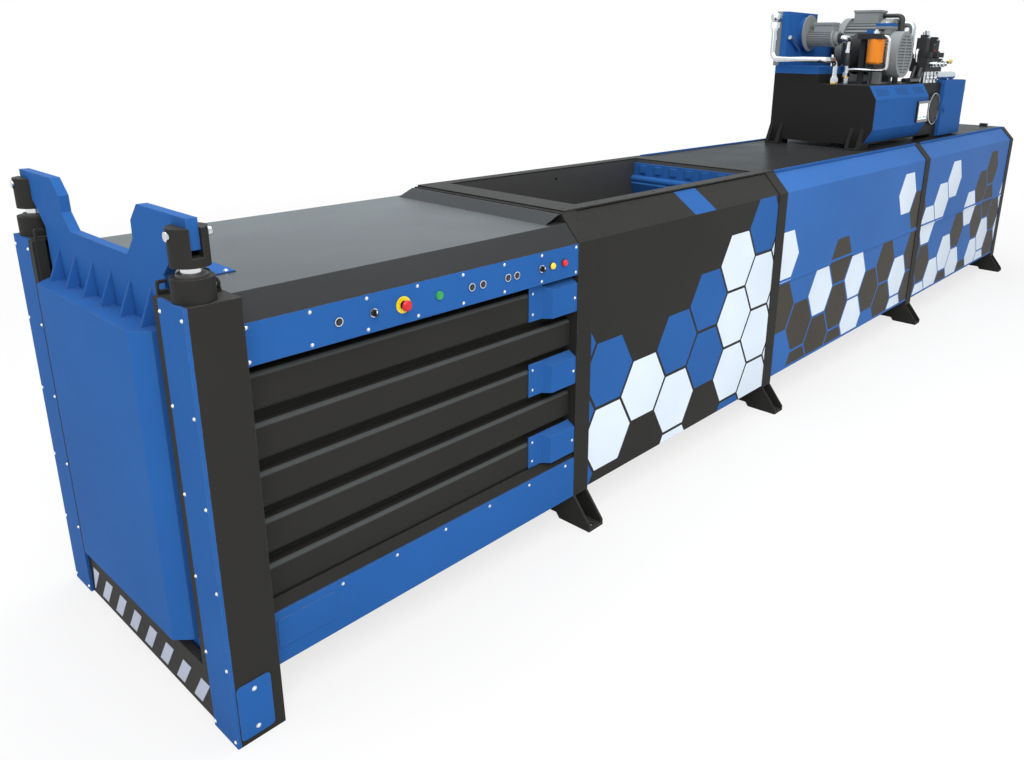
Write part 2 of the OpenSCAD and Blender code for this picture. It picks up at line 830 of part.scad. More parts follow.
// Folded box and gussets on the front of the door
module door_box() color(blue) placed() {
    face = box_hw - box_slope;
    plan = [
        [door_x, box_hw],
        [box_front + box_slope, box_hw],
        [box_front, face],
        [box_front, -face],
        [box_front + box_slope, -box_hw],
        [door_x, -box_hw]
    ];
    gusset_pitch = box_hw / 2.86;
    gusset_t = 10;
    along_z(box_z, box_top) sheet(plan, box_t);
    along_z(box_z, box_z + box_t) polygon(plan);
    along_z(box_top - box_t, box_top) polygon(plan);
    for (i = [-2.5 : 1 : 2.5]) {
        along_y(i * gusset_pitch - gusset_t / 2, i * gusset_pitch + gusset_t / 2) {
            polygon([[box_front + 41, box_top], [door_x, box_top], [door_x, box_top + gusset_h]]);
        }
    }
}

// Forked rod ends that carry the horns of the door
module lift_clevises() color(black) placed() both_sides() difference() {
    drum_z(rod_x, rod_y, clevis_z, clevis_z + clevis_h, clevis_d);
    block(door_x - fit, door_back + fit, rod_y - clevis_d, rod_y + clevis_d,
        horn_z - 20, clevis_z + clevis_h + past);
    drum_x(rod_y, pin_z, rod_x - clevis_d, rod_x + clevis_d, pin_d + 2 * bore_fit);
}

module clevis_pins() color(steel) placed() both_sides() {
    half = clevis_d / 2;
    head_d = pin_d + 4;
    drum_x(rod_y, pin_z, rod_x - half - 3, rod_x + half + 12, pin_d);
    drum_x(rod_y, pin_z, rod_x - half - 6, rod_x - half - fit, head_d);
    drum_x(rod_y, pin_z, rod_x + half + fit, rod_x + half + 6, head_d);
}

// Chromed rods with their pistons
module lift_rods() color(steel) placed() both_sides() {
    piston_z = 110;
    piston_h = 40;
    drum_z(rod_x, rod_y, piston_z, clevis_z, lift_rod_d);
    drum_z(rod_x, rod_y, piston_z, piston_z + piston_h, lift_rod_d + 8);
}

// Barrels inside the posts, their glands on top
module lift_cylinders() color(black) placed() both_sides() difference() {
    guide_z = post_h - 30;
    union() {
        drum_z(rod_x, rod_y, cap_t, post_h + past, barrel_d);
        drum_z(rod_x, rod_y, post_h, post_h + gland_h, barrel_d + 28);
    }
    drum_z(rod_x, rod_y, 60, guide_z, lift_rod_d + 10);
    drum_z(rod_x, rod_y, guide_z - past, post_h + gland_h + past, lift_rod_d + 2 * bore_fit);
}

// Hooks for chains and lifting eyes on top of the posts
module post_brackets() color(black) placed() both_sides() {
    y0 = post_in + 8;
    hook_t = 10;
    hook_x0 = door_back + 6;
    hook_x1 = post_d - 6;
    hook_h = 62;
    slot_x = 0.24 * (hook_x1 - hook_x0);
    eye_x = post_d - 16;
    eye_y = rod_y - 45;
    eye_r = 14;
    eye_z = post_h + 10;
    along_y(y0, y0 + hook_t) difference() {
        rounded([hook_x0, post_h - 20], [hook_x1, post_h + hook_h], 16);
        translate([hook_x0 - past, post_h - 40]) square([hook_x1 - hook_x0 + 2 * past, 40]);
        rounded([hook_x0 + slot_x, post_h + 18], [hook_x1 - slot_x, post_h + 44], 12);
    }
    drum_z(eye_x, eye_y, post_h, eye_z, 24);
    translate([eye_x, eye_y, eye_z + eye_r]) rotate([90, 0, 90]) {
        rotate_extrude() translate([eye_r, 0]) circle(5);
    }
}

// Hollow pressing ram: platen, side walls, top plate, ribs and rear bulkhead
module ram() color(black) placed() {
    t = 20;
    platen_t = 40;
    bays = 3;
    bay_l = (ram_l - 2 * platen_t) / bays;
    difference() {
        block(ram_x, ram_x + ram_l, -ram_hw, ram_hw, ram_z0, ram_z1);
        for (i = [0 : bays - 1]) {
            x0 = ram_x + platen_t + i * bay_l;
            block(x0, x0 + bay_l - t, -ram_hw + t, ram_hw - t, ram_z0 - past, ram_z1 - t);
        }
    }
}

// Rod of the press cylinder with its piston
module ram_rod() color(steel) placed() {
    piston_x = press_end - 100;
    drum_x(0, axis_z, ram_x + ram_l, piston_x + past, ram_rod_d);
    drum_x(0, axis_z, piston_x, piston_x + 60, press_bore - 2 * fit);
}

// Press cylinder with gland, rear flange and front cradle
module press_cylinder() color(black) placed() difference() {
    gland_l = 60;
    cradle_x = press_x + gland_l + 10;
    cradle_l = 80;
    union() {
        drum_x(0, axis_z, press_x, press_end + past, press_d);
        drum_x(0, axis_z, press_x, press_x + gland_l, press_d + 50);
        drum_x(0, axis_z, press_end, rib_x[3], press_d + 120);
        block(cradle_x, cradle_x + cradle_l, -press_d / 2, press_d / 2, floor_z, axis_z);
    }
    drum_x(0, axis_z, press_x + gland_l, press_end - 30, press_bore);
    drum_x(0, axis_z, press_x - past, press_x + gland_l + past, ram_rod_d + 2 * bore_fit);
}

// A drum at part f of the control strip, d wide, from a to b in front of its face
module on_strip(f, a, b, d) drum_y(post_d + f * chamber_l, control_z, strip_out + a, strip_out + b, d);

// Bezels and necks of buttons, selectors and the emergency stop
module control_bezels() color(dark) placed() control_side() {
    for (f = concat(button_at, selector_at, [stop_at])) difference() {
        base = f == stop_at ? stop_base : 0;
        union() {
            on_strip(f, base, bezel_t, bezel_d);
            on_strip(f, -40, base + past, neck_d);
        }
        on_strip(f, -30, bezel_t + past, cap_d + 2 * fit);
    }
}

module estop_plate() color(yellow) placed() control_side() difference() {
    on_strip(stop_at, 0, stop_base, stop_disc_d);
    on_strip(stop_at, -past, stop_base + past, neck_d + 2 * fit);
}

// Fixed signal lamps at the rear end of the strip
module pilot_lamps() color(yellow) placed() control_side() for (f = lamp_at) {
    on_strip(f, 0, bezel_t, bezel_d);
    on_strip(f, -40, bezel_t, neck_d);
    on_strip(f, 0, bezel_t + 8, bezel_d - 8);
}

module push_button(i, shade) color(shade) placed() control_side() on_strip(button_at[i], -18, cap_out, cap_d);
module push_button_1() push_button(0, dark);
module push_button_2() push_button(1, green);
module push_button_3() push_button(2, dark);
module push_button_4() push_button(3, dark);
module push_button_5() push_button(4, dark);
module push_button_6() push_button(5, dark);

// Knob with a grip bar, turned to its rest position
module selector(i) color(dark) placed() control_side() {
    x = post_d + selector_at[i] * chamber_l;
    knob = strip_out + bezel_t + 6;
    on_strip(selector_at[i], -18, bezel_t + 6, cap_d);
    on_strip(selector_at[i], bezel_t + fit, bezel_t + 6, bezel_d - 6);
    block(x - 4, x + 4, knob - past, knob + 12, control_z - 11, control_z + 11);
}
module selector_1() selector(0);
module selector_2() selector(1);

// Mushroom head on its stem
module emergency_stop() color(red) placed() control_side() {
    stem = 16;
    r = stop_d / 2;
    on_strip(stop_at, -18, stem + past, cap_d);
    translate([post_d + stop_at * chamber_l, strip_out + stem, control_z]) rotate([-90, 0, 0]) {
        rotate_extrude() polygon([[0, 0], [r - 3, 0], [r, 4], [r, 9], [r - 5, 14], [0, 15]]);
    }
}

// Hollow tank, end plates of the cover, gusseted feet and the black foot of the cooler's tray
module oil_tank() color(black) placed() {
    sole_t = 8;
    foot_w = 110;
    toe = 70;
    foot_t = 10;
    gusset_t = 26;
    foot_y = tank_hw - foot_w;
    gusset_z = tank_z0 + 120;
    difference() {
        block(tank_x, tank_end, -tank_hw, tank_hw, tank_z0, tank_z1);
        block(tank_x + tank_t, tank_end - tank_t, -tank_hw + tank_t, tank_hw - tank_t,
            tank_z0 + tank_t, tank_z1 - tank_t);
    }
    difference() {
        block(tank_x, cooler_x1, tray_y, tank_hw, tank_z1 - past, stand_z);
        block(tank_x + sole_t, cooler_x1 - sole_t, tray_y + sole_t, tank_hw - sole_t,
            tank_z1, stand_z + past);
    }
    for (x = [tank_x, cover_x1 - plate_t]) control_side() along_x(x, x + plate_t) polygon(cover_path);
    both_sides() {
        block(tank_x - toe, tank_x + foot_w, foot_y, tank_hw, rib_h, rib_h + foot_t);
        block(tank_x, tank_x + foot_w, foot_y, tank_hw, rib_h, tank_z0 + tank_t);
        block(tank_end - foot_w, tank_end, foot_y, tank_hw, rib_h, tank_z0 + tank_t);
        for (y = [foot_y, tank_hw - gusset_t]) along_y(y, y + gusset_t) {
            polygon([
                [tank_x - toe, rib_h], [tank_x + tank_t, rib_h], [tank_x + tank_t, gusset_z],
                [tank_x, gusset_z], [tank_x - toe, rib_h + foot_t]
            ]);
        }
    }
}

// Kinked cover with three louvre fields in its upper slope
module tank_cover() color(blue) placed() control_side() difference() {
    x0 = tank_x + plate_t;
    x1 = cover_x1 - plate_t;
    fields = [0.17, 0.51, 0.84];
    slots = 9;
    slot_pitch = 0.023 * (x1 - x0);
    slope = cover_path[1] - cover_path[0];
    out = left_of(cover_path[1], cover_path[0]) * -12;
    a = cover_path[0] + 0.25 * slope;
    b = cover_path[0] + 0.75 * slope;
    along_x(x0, x1) intersection() {
        sheet(reversed(cover_path), cover_sheet);
        translate([tank_hw, tank_z0]) square([2 * bulge, tank_h]);
    }
    for (f = fields, k = [0 : slots - 1]) {
        x = x0 + f * (x1 - x0) + (k - (slots - 1) / 2) * slot_pitch;
        along_x(x - 5, x + 5) polygon([a - out, a + out, b + out, b - out]);
    }
}

// Framed display on the flat of the cover
module operator_display() color(dark) placed() control_side() {
    x1 = cover_x1 - 12;
    x0 = x1 - 256;
    z0 = flat_z0 + 15;
    z1 = z0 + 0.77 * (flat_z1 - flat_z0);
    rim = 20;
    along_y(cover_y, cover_y + 18) difference() {
        rounded([x0, z0], [x1, z1], 10);
        rounded([x0 + rim, z0 + rim], [x1 - rim, z1 - rim], 4);
    }
    along_y(cover_y, cover_y + 12) rounded([x0 + past, z0 + past], [x1 - past, z1 - past], 10);
}

// Round bolted cover on the tank side
module inspection_cover() color(grey) placed() control_side() {
    x = tank_end - 150;
    z = (tank_z0 + tank_z1) / 2;
    d = 0.62 * tank_h;
    bolt_r = 0.426 * d;
    flange = tank_hw + 14;
    drum_y(x, z, tank_hw, flange, d);
    drum_y(x, z, tank_hw, flange + 4, 0.7 * d);
    for (i = [0 : 7]) {
        drum_y(x + bolt_r * cos(i * 45), z + bolt_r * sin(i * 45), tank_hw, flange + 8, 18);
    }
}

// Open-fronted cabinet with its mounting plate and switchgear
module control_cabinet() color(blue) placed() control_side() {
    plate_y = cabinet_y0 + 16;
    inset = 30;
    rail_h = 34;
    rail_d = 8;
    device_h = 76;
    pitch = (cabinet_l - 4 * inset) / 5;
    difference() {
        block(cabinet_x, cabinet_x1, cabinet_y0, cabinet_y, cabinet_z, cabinet_z1);
        block(cabinet_x + cabinet_t, cabinet_x1 - cabinet_t, cabinet_y0 + cabinet_t, cabinet_y + past,
            cabinet_z + cabinet_t, cabinet_z1 - cabinet_t);
    }
    block(cabinet_x + inset, cabinet_x1 - inset, cabinet_y0, plate_y, cabinet_z + inset, cabinet_z1 - inset);
    for (k = [0 : 2]) {
        z = cabinet_z + 80 + k * (cabinet_h - 160) / 2;
        block(cabinet_x + 2 * inset, cabinet_x1 - 2 * inset, plate_y - past, plate_y + rail_d,
            z - rail_h / 2, z + rail_h / 2);
        for (i = [0 : 4 - k]) {
            x = cabinet_x + 2 * inset + i * pitch;
            block(x, x + 0.8 * pitch, plate_y + rail_d - past, plate_y + 62 + 14 * k,
                z - device_h / 2, z + device_h / 2);
        }
    }
    for (x = [cabinet_x + inset, cabinet_x1 - inset - 50]) {
        block(x, x + 50, cabinet_y0, cabinet_y - 20, rib_h, cabinet_z + cabinet_t);
    }
    for (z = hinge_z) difference() {
        union() {
            drum_z(hinge_x, hinge_y, z, z + hinge_l, hinge_d);
            block(cabinet_x1 - past, cabinet_x1 + 3, cabinet_y - 40, hinge_y, z, z + hinge_l);
        }
        drum_z(hinge_x, hinge_y, z - past, z + hinge_l + past, hinge_pin_d + 2 * bore_fit);
    }
}

// Folded door with hinge knuckles, pins and a lock
module cabinet_door() color(blue) placed() control_side() {
    y0 = cabinet_y + fit;
    y1 = y0 + door_fold;
    z0 = cabinet_z + 2;
    z1 = cabinet_z1 - 2;
    x1 = cabinet_x1 - 2;
    t = 3;
    lock_x = cabinet_x + 36;
    lock_z = (z0 + z1) / 2;
    difference() {
        block(cabinet_x, x1, y0, y1, z0, z1);
        block(cabinet_x + t, x1 - t, y0 - past, y1 - t, z0 + t, z1 - t);
    }
    for (z = hinge_z) {
        drum_z(hinge_x, hinge_y, z + hinge_l + fit, z + 2 * hinge_l, hinge_d);
        drum_z(hinge_x, hinge_y, z, z + 2 * hinge_l, hinge_pin_d);
        block(x1 - t, hinge_x, hinge_y - 2, hinge_y + 2, z + hinge_l + fit, z + 2 * hinge_l);
    }
    drum_y(lock_x, lock_z, y1 - t, y1 + 8, 30);
    block(lock_x - 6, lock_x + 6, y1 + 8 - past, y1 + 16, lock_z - 40, lock_z + 14);
}

// Finned cooler between two header tanks
module cooler_core() color(grey) placed() {
    header = 44;
    core_d = 30;
    rows = 15;
    fin_t = 8;
    pitch = (cooler_h - fin_t) / rows;
    for (x = [cooler_x, cooler_x1 - header]) block(x, x + header, cooler_y, cooler_y1, cooler_z, cooler_z1);
    block(cooler_x, cooler_x1, cooler_y, cooler_y + core_d, cooler_z, cooler_z1);
    for (i = [0 : rows]) {
        z = cooler_z + i * pitch;
        block(cooler_x + header - past, cooler_x1 - header + past, cooler_y + core_d - past, cooler_y1 - 6,
            z, z + fin_t);
    }
}

// Fan shroud with its collar, the hollow tray under it and the plate behind the pumps
module cooler_shroud() color(blue) placed() {
    t = 5;
    guard_h = 300;
    difference() {
        block(tank_x, cooler_x1, tray_y, tank_hw, stand_z, cooler_z);
        block(tank_x + t, cooler_x1 - t, tray_y + t, tank_hw - t, stand_z - past, cooler_z - t);
    }
    difference() {
        union() {
            block(cooler_x, cooler_x1, shroud_y, cooler_y, cooler_z - past, cooler_z1);
            drum_y(fan_x, fan_z, fan_disc_y, shroud_y + past, collar_d);
        }
        block(cooler_x + t, cooler_x1 - t, shroud_y + t, cooler_y + past, cooler_z + t, cooler_z1 - t);
        drum_y(fan_x, fan_z, fan_disc_y + t, shroud_y + t + past, collar_d - 2 * t);
    }
    block(cooler_x1 + fit, motor_a_x - 120, tank_hw - 17, tank_hw - 17 + t, tank_z1, tank_z1 + guard_h);
}

// Radial cooling fins round a motor body along y
module fins(x, z, y0, y1, d, n) {
    for (i = [0 : n - 1]) translate([x, 0, z]) rotate([0, i * 360 / n, 0]) {
        block(d / 2 - 24, d / 2 - 8, y0, y1, -2, 2);
    }
}

// Motor along y: finned body, end shields, fan hood with level slots, foot
module motor(x, z, y0, y1, d) {
    hood_l = 90;
    shield_l = 30;
    grille_d = 8;
    rows = 6;
    bar = 9;
    leg_x = d / 3.4;
    leg_w = 22;
    drum_y(x, z, y0 + hood_l - past, y1, d - 44);
    fins(x, z, y0 + hood_l - past, y1 - shield_l + past, d, 36);
    drum_y(x, z, y1 - shield_l, y1, d - 12);
    difference() {
        drum_y(x, z, y0, y0 + hood_l, d);
        for (k = [-rows : rows]) {
            slot_z = z + k * (d / 2 - 40) / rows;
            half = sqrt(pow(d / 2 - 30, 2) - pow(slot_z - z, 2));
            for (part = [[-half, -bar], [bar, half]]) {
                block(x + part[0], x + part[1], y0 - past, y0 + grille_d, slot_z - 6, slot_z + 6);
            }
        }
    }
    block(x - d / 2 + 40, x + d / 2 - 40, y0 + hood_l + 40, y1 - 40, tank_z1, tank_z1 + 14);
    for (s = [-1, 1]) {
        block(x + s * leg_x - leg_w, x + s * leg_x + leg_w, y0 + hood_l + 40, y1 - 40,
            tank_z1 + 13, z - d / 4);
    }
}

// Terminal box with a lid, h high, on a motor with its lower edge at z
module terminal_box(x, y, z, w, l, h) {
    lid = 6;
    block(x - w / 2, x + w / 2, y - l / 2, y + l / 2, z - 40, z + h);
    block(x - w / 2 - lid, x + w / 2 + lid, y - l / 2 - lid, y + l / 2 + lid, z + h - 18, z + h);
}

// Both pump motors with their terminal boxes
module pump_motors() color(grey) placed() {
    motor(motor_a_x, motor_a_z, motor_a_y0, motor_a_y1, motor_a_d);
    drum_y(motor_a_x, motor_a_z, motor_a_y1 - 54, motor_a_y1, motor_a_d + 12);
    motor(motor_b_x, motor_b_z, motor_b_y0, motor_b_y1, motor_b_d);
    terminal_box(motor_a_x, terminal_y, terminal_z, terminal_w, terminal_l, terminal_h);
    terminal_box(motor_b_x, small_box_y, small_box_z - 56, small_box_w, 120, 56);
}

// Bell housings and pumps behind the motors, and the small pump at the fan motor
module pumps() color(dark) placed() {
    sets = [
        [motor_a_x, motor_a_z, motor_a_y1, motor_a_d, bell_a_l, pump_a_y],
        [motor_b_x, motor_b_z, motor_b_y1, motor_b_d, bell_b_l, pump_b_y]
    ];
    for (m = sets) {
        y = m[2] + m[4];
        drum_y(m[0], m[1], m[2], y, m[3] - 30);
        drum_y(m[0], m[1], y - past, y + 20, m[3] * 0.6);
        drum_y(m[0], m[1], y + 19, y + 34, 190);
        drum_y(m[0], m[1], y + 33, y + 92, 140);
        block(m[0] - pump_w / 2, m[0] + pump_w / 2, m[5] - 25, m[5] + 25,
            m[1] - pump_h / 2, m[1] + pump_h / 2);
    }
    drum_y(fan_x, fan_motor_z, fan_pump_y, fan_end_y - 32, 76);
}

// Fan motor with its mounting disc, cooling fins, end shield and long terminal box
module fan_motor() color(grey) placed() {
    drum_y(fan_x, fan_z, fan_motor_y, fan_disc_y, fan_disc_d);
    drum_y(fan_x, fan_motor_z, fan_end_y, fan_motor_y + past, fan_motor_d - 34);
    drum_y(fan_x, fan_motor_z, fan_end_y, fan_end_y + 16, fan_motor_d - 8);
    drum_y(fan_x, fan_motor_z, fan_end_y - 32, fan_end_y + past, 0.72 * fan_motor_d);
    fins(fan_x, fan_motor_z, fan_end_y + 15, fan_motor_y + past, fan_motor_d, 24);
    terminal_box(fan_x, fan_end_y + 84, fan_motor_z + 0.42 * fan_motor_d, 84, 168, 56);
}

// Orange filter canister that hangs from its head
module oil_filter() color(orange) placed() {
    skirt = 14;
    drum_z(filter_x, filter_y, filter_z + skirt - past, head_z, filter_d);
    translate([filter_x, filter_y, filter_z]) cylinder(d1 = filter_d - 28, d2 = filter_d, h = skirt);
}

// Bent steel pipes of the cooler, the filter and the pumps
module oil_pipes() color(steel) placed() {
    cool_d = 44;
    cool_x = cooler_x - 62;
    cool_y = cooler_y + 23;
    cool_z = cooler_z + 48;
    inlet_z = cooler_z1 - 46;
    drop_x = tank_x + 130;
    drop_y = tray_y - 72;
    drum_x(cool_y, inlet_z, cool_x, cooler_x, 34);
    translate([cool_x, cool_y, inlet_z]) sphere(d = 78);
    pipe([
        [cool_x, cool_y, inlet_z], [cool_x, cool_y, cool_z], [cool_x, drop_y, cool_z],
        [drop_x, drop_y, cool_z], [drop_x, drop_y, tank_z1]
    ], cool_d, 52);
    fan_d = 44;
    pipe([
        [fan_x, fan_pump_y, fan_motor_z], [fan_x, fan_pipe_y, fan_motor_z],
        [fan_pipe_x, fan_pipe_y, fan_motor_z],
        [fan_pipe_x, fan_pipe_y, tank_z1]
    ], fan_d, 30);
    drum_z(fan_pipe_x, fan_pipe_y, tank_z1, tank_z1 + 40, 62);
    drain_y = filter_y - 105;
    drain_z = tank_z1 + 105;
    feed_z = head_z + 20;
    pipe([
        [fan_pipe_x, filter_y - filter_d / 2, feed_z], [fan_pipe_x, drain_y, feed_z],
        [fan_pipe_x, drain_y, drain_z], [fan_pipe_x, fan_pipe_y, drain_z]
    ], 24, 36);
    for (m = [[motor_a_x, pump_a_y, motor_a_z], [motor_b_x, pump_b_y, motor_b_z]]) {
        drum_z(m[0], m[1], tank_z1, m[2] - pump_h / 2, 36);
    }
    bow_z = motor_a_z + motor_a_d / 2 - 34;
    pipe([
        [bow_x, bow_y, valve_top], [bow_x, bow_y, bow_z], [bow_x, bow_y + bow_w, bow_z],
        [bow_x, bow_y + bow_w, valve_top]
    ], 58, bow_r);
    for (k = [0 : 2]) drum_z(valve_x + 50 + k * 90, valve_y + 26, tank_z1, valve_z, 26);
}

// Manifold with upright valves and plugs on a stand, and the head and post of the filter
module valve_block() color(dark) placed() {
    valves = [[16, 74, 162], [196, 60, 96], [262, 74, 150], [340, 36, 60]];
    leg_w = 40;
    rear = [bow_x - 60, bow_x + 60, valve_y + valve_d - past, bow_y + bow_w + 45];
    block(valve_x, valve_x + valve_l, valve_y, valve_y + valve_d, valve_z, valve_top);
    block(rear[0], rear[1], rear[2], rear[3], valve_z + 20, valve_top);
    for (v = valves) {
        x0 = valve_x + v[0];
        x1 = x0 + v[1];
        block(x0, x1, valve_y + 30, valve_y + 112, valve_top - past, valve_top + v[2]);
        block(x0 + 8, x1 - 8, valve_y - 10, valve_y + 31, valve_top + 8, valve_top + 48);
    }
    for (x = [valve_x + 20, valve_x + valve_l - 120]) {
        block(x, x + leg_w, valve_y + 60, valve_y + 120, tank_z1, valve_z + past);
    }
    head_hw = filter_d / 2;
    post_y = filter_y + 110;
    block(filter_x - head_hw, filter_x + head_hw, filter_y - head_hw, post_y + 20, head_z, head_z + 40);
    block(filter_x + 10, filter_x + 10 + leg_w, post_y - 20, post_y + 20, tank_z1, head_z + past);
}

// Bright screwed-in cartridges, upright cylinder, domes and the bottle behind the block
module valve_cartridges() color(steel) placed() {
    upright_x = valve_x + 140;
    upright_y = valve_y + 78;
    dome_x = valve_x + 358;
    bottle_y = valve_y + 32;
    bottle_z = tank_z1 + 56;
    for (k = [0 : 3]) {
        x = valve_x + 50 + k * 92;
        drum_y(x, valve_z + 60, valve_y - 40, valve_y, 44);
        drum_y(x, valve_z + 60, valve_y - 60, valve_y - 39, 26);
    }
    drum_z(upright_x, upright_y, valve_top, valve_top + 190, 56);
    drum_z(upright_x, upright_y, valve_top + 189, valve_top + 222, 40);
    drum_z(valve_x + 53, upright_y, valve_top + 162, valve_top + 212, 14);
    drum_z(dome_x, upright_y, valve_top + 60, valve_top + 84, 34);
    translate([dome_x, upright_y, valve_top + 84]) sphere(d = 34);
    bottle_d = 66;
    rest_w = 30;
    drum_x(bottle_y, bottle_z, tank_end - 75, cabinet_x + 390, bottle_d);
    drum_x(bottle_y, bottle_z, tank_end - 95, tank_end - 74, 40);
    for (rest = [[tank_end - 70, tank_z1], [cabinet_x + 200, cabinet_z1]]) {
        block(rest[0], rest[0] + rest_w, bottle_y - 22, bottle_y + 22, rest[1], bottle_z);
    }
}

// Cables from the terminal boxes down to the tank
module motor_cables() color(dark) placed() {
    z = terminal_z + terminal_h / 2 - 2;
    y = motor_a_y0 - 30;
    small_z = small_box_z - 29;
    small_x = motor_b_x - motor_b_d / 2 - 20;
    for (k = [0 : 1]) {
        x = motor_a_x + 22 + k * 40;
        pipe([[x, terminal_y - terminal_l / 2, z], [x, y, z], [x, y, tank_z1]], 32, 40);
    }
    pipe([
        [motor_b_x - small_box_w / 2, small_box_y, small_z], [small_x, small_box_y, small_z],
        [small_x, small_box_y, tank_z1]
    ], 18, 40);
}

base_frame();
front_post_left();
front_post_right();
guide_strips();
cover_plates();
front_crossbeams();
side_beams_left();
side_beams_right();
retainer_covers();
side_rails();
roof();
control_panel();
rib_frames();
hopper_panels();
hopper_rim();
hopper_walls();
shear_beam();
upper_panels();
lower_panels();
deck_plates();
saddle_feet();
rear_plate();
door_plate();
door_box();
lift_clevises();
clevis_pins();
lift_rods();
lift_cylinders();
post_brackets();
ram();
ram_rod();
press_cylinder();
control_bezels();
estop_plate();
pilot_lamps();
push_button_1();
push_button_2();
push_button_3();
push_button_4();
push_button_5();
push_button_6();
selector_1();
selector_2();
emergency_stop();
oil_tank();
tank_cover();
operator_display();
inspection_cover();
control_cabinet();
cabinet_door();
cooler_core();
cooler_shroud();
fan_motor();
pump_motors();
pumps();
oil_filter();
oil_pipes();
valve_block();
valve_cartridges();
motor_cables();
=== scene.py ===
"""Looks of the horizontal baler: materials, small parts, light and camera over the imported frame."""

import json
import math

import bmesh
import bpy
from mathutils import Matrix, Vector


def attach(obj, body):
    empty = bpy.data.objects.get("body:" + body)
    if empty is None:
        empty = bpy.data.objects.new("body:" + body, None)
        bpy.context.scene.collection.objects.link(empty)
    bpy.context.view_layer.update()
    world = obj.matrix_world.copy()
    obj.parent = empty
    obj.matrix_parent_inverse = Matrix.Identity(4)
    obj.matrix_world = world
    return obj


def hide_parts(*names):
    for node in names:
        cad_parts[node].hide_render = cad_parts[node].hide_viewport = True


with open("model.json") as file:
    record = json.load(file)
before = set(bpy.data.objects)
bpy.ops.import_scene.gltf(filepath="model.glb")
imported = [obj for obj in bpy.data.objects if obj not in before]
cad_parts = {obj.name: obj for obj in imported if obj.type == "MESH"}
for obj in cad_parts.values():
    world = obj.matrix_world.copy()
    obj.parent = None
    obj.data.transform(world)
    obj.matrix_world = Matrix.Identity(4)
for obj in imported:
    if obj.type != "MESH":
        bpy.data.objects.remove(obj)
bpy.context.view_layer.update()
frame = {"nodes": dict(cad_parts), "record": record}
nodes = frame["nodes"]
scene = bpy.context.scene

# Stations in mm: x from the front of the guide strips, y from the centre plane, z from the ground.
FRONT_X = -4348.0  # the guide strips' front in the row frame
RIB_X = (1757, 3604, 6121, 8633)  # front faces of the rib frames
RIB_D = 102
RIB_TOP = 1510
POST_IN = 497  # inner side of the front posts
POST_TOP = 1500
STRIP_IN = 532  # inner edge of the guide strips
STRIP_X = 170  # the control strip's start, length and outer face
STRIP_L = 1587
STRIP_SIDE = 608
CONTROL_Z = 1322  # centre line of the controls
BEAM_Z = 390  # just above the foot of the lowest chamber beam
TANK_TOP = 1980
COOL_FOOT = (5440, -45)  # x and y of the bent pipes on the tank
FAN_PIPE = (5703.2, -25)

# Controls: shares of the control strip's length, or stations.
DARK_BUTTONS = (0.229, 0.602, 0.638, 0.724, 0.756)
GREEN_BUTTON = 0.502
SELECTORS = (0.317, 0.849)
SELECTOR_MARK_X = (673.1, 1517.4)
LAMP_X = (1586, 1662)

UP = (0, 0, 1)
DOWN = (0, 0, -1)
FORWARD = (-1, 0, 0)  # towards the door end
NEAR = (0, -1, 0)  # towards the control side


def at(x, y, z):
    """A station in mm as a point of the row frame in metres."""
    return Vector(((x + FRONT_X) / 1000, y / 1000, z / 1000))


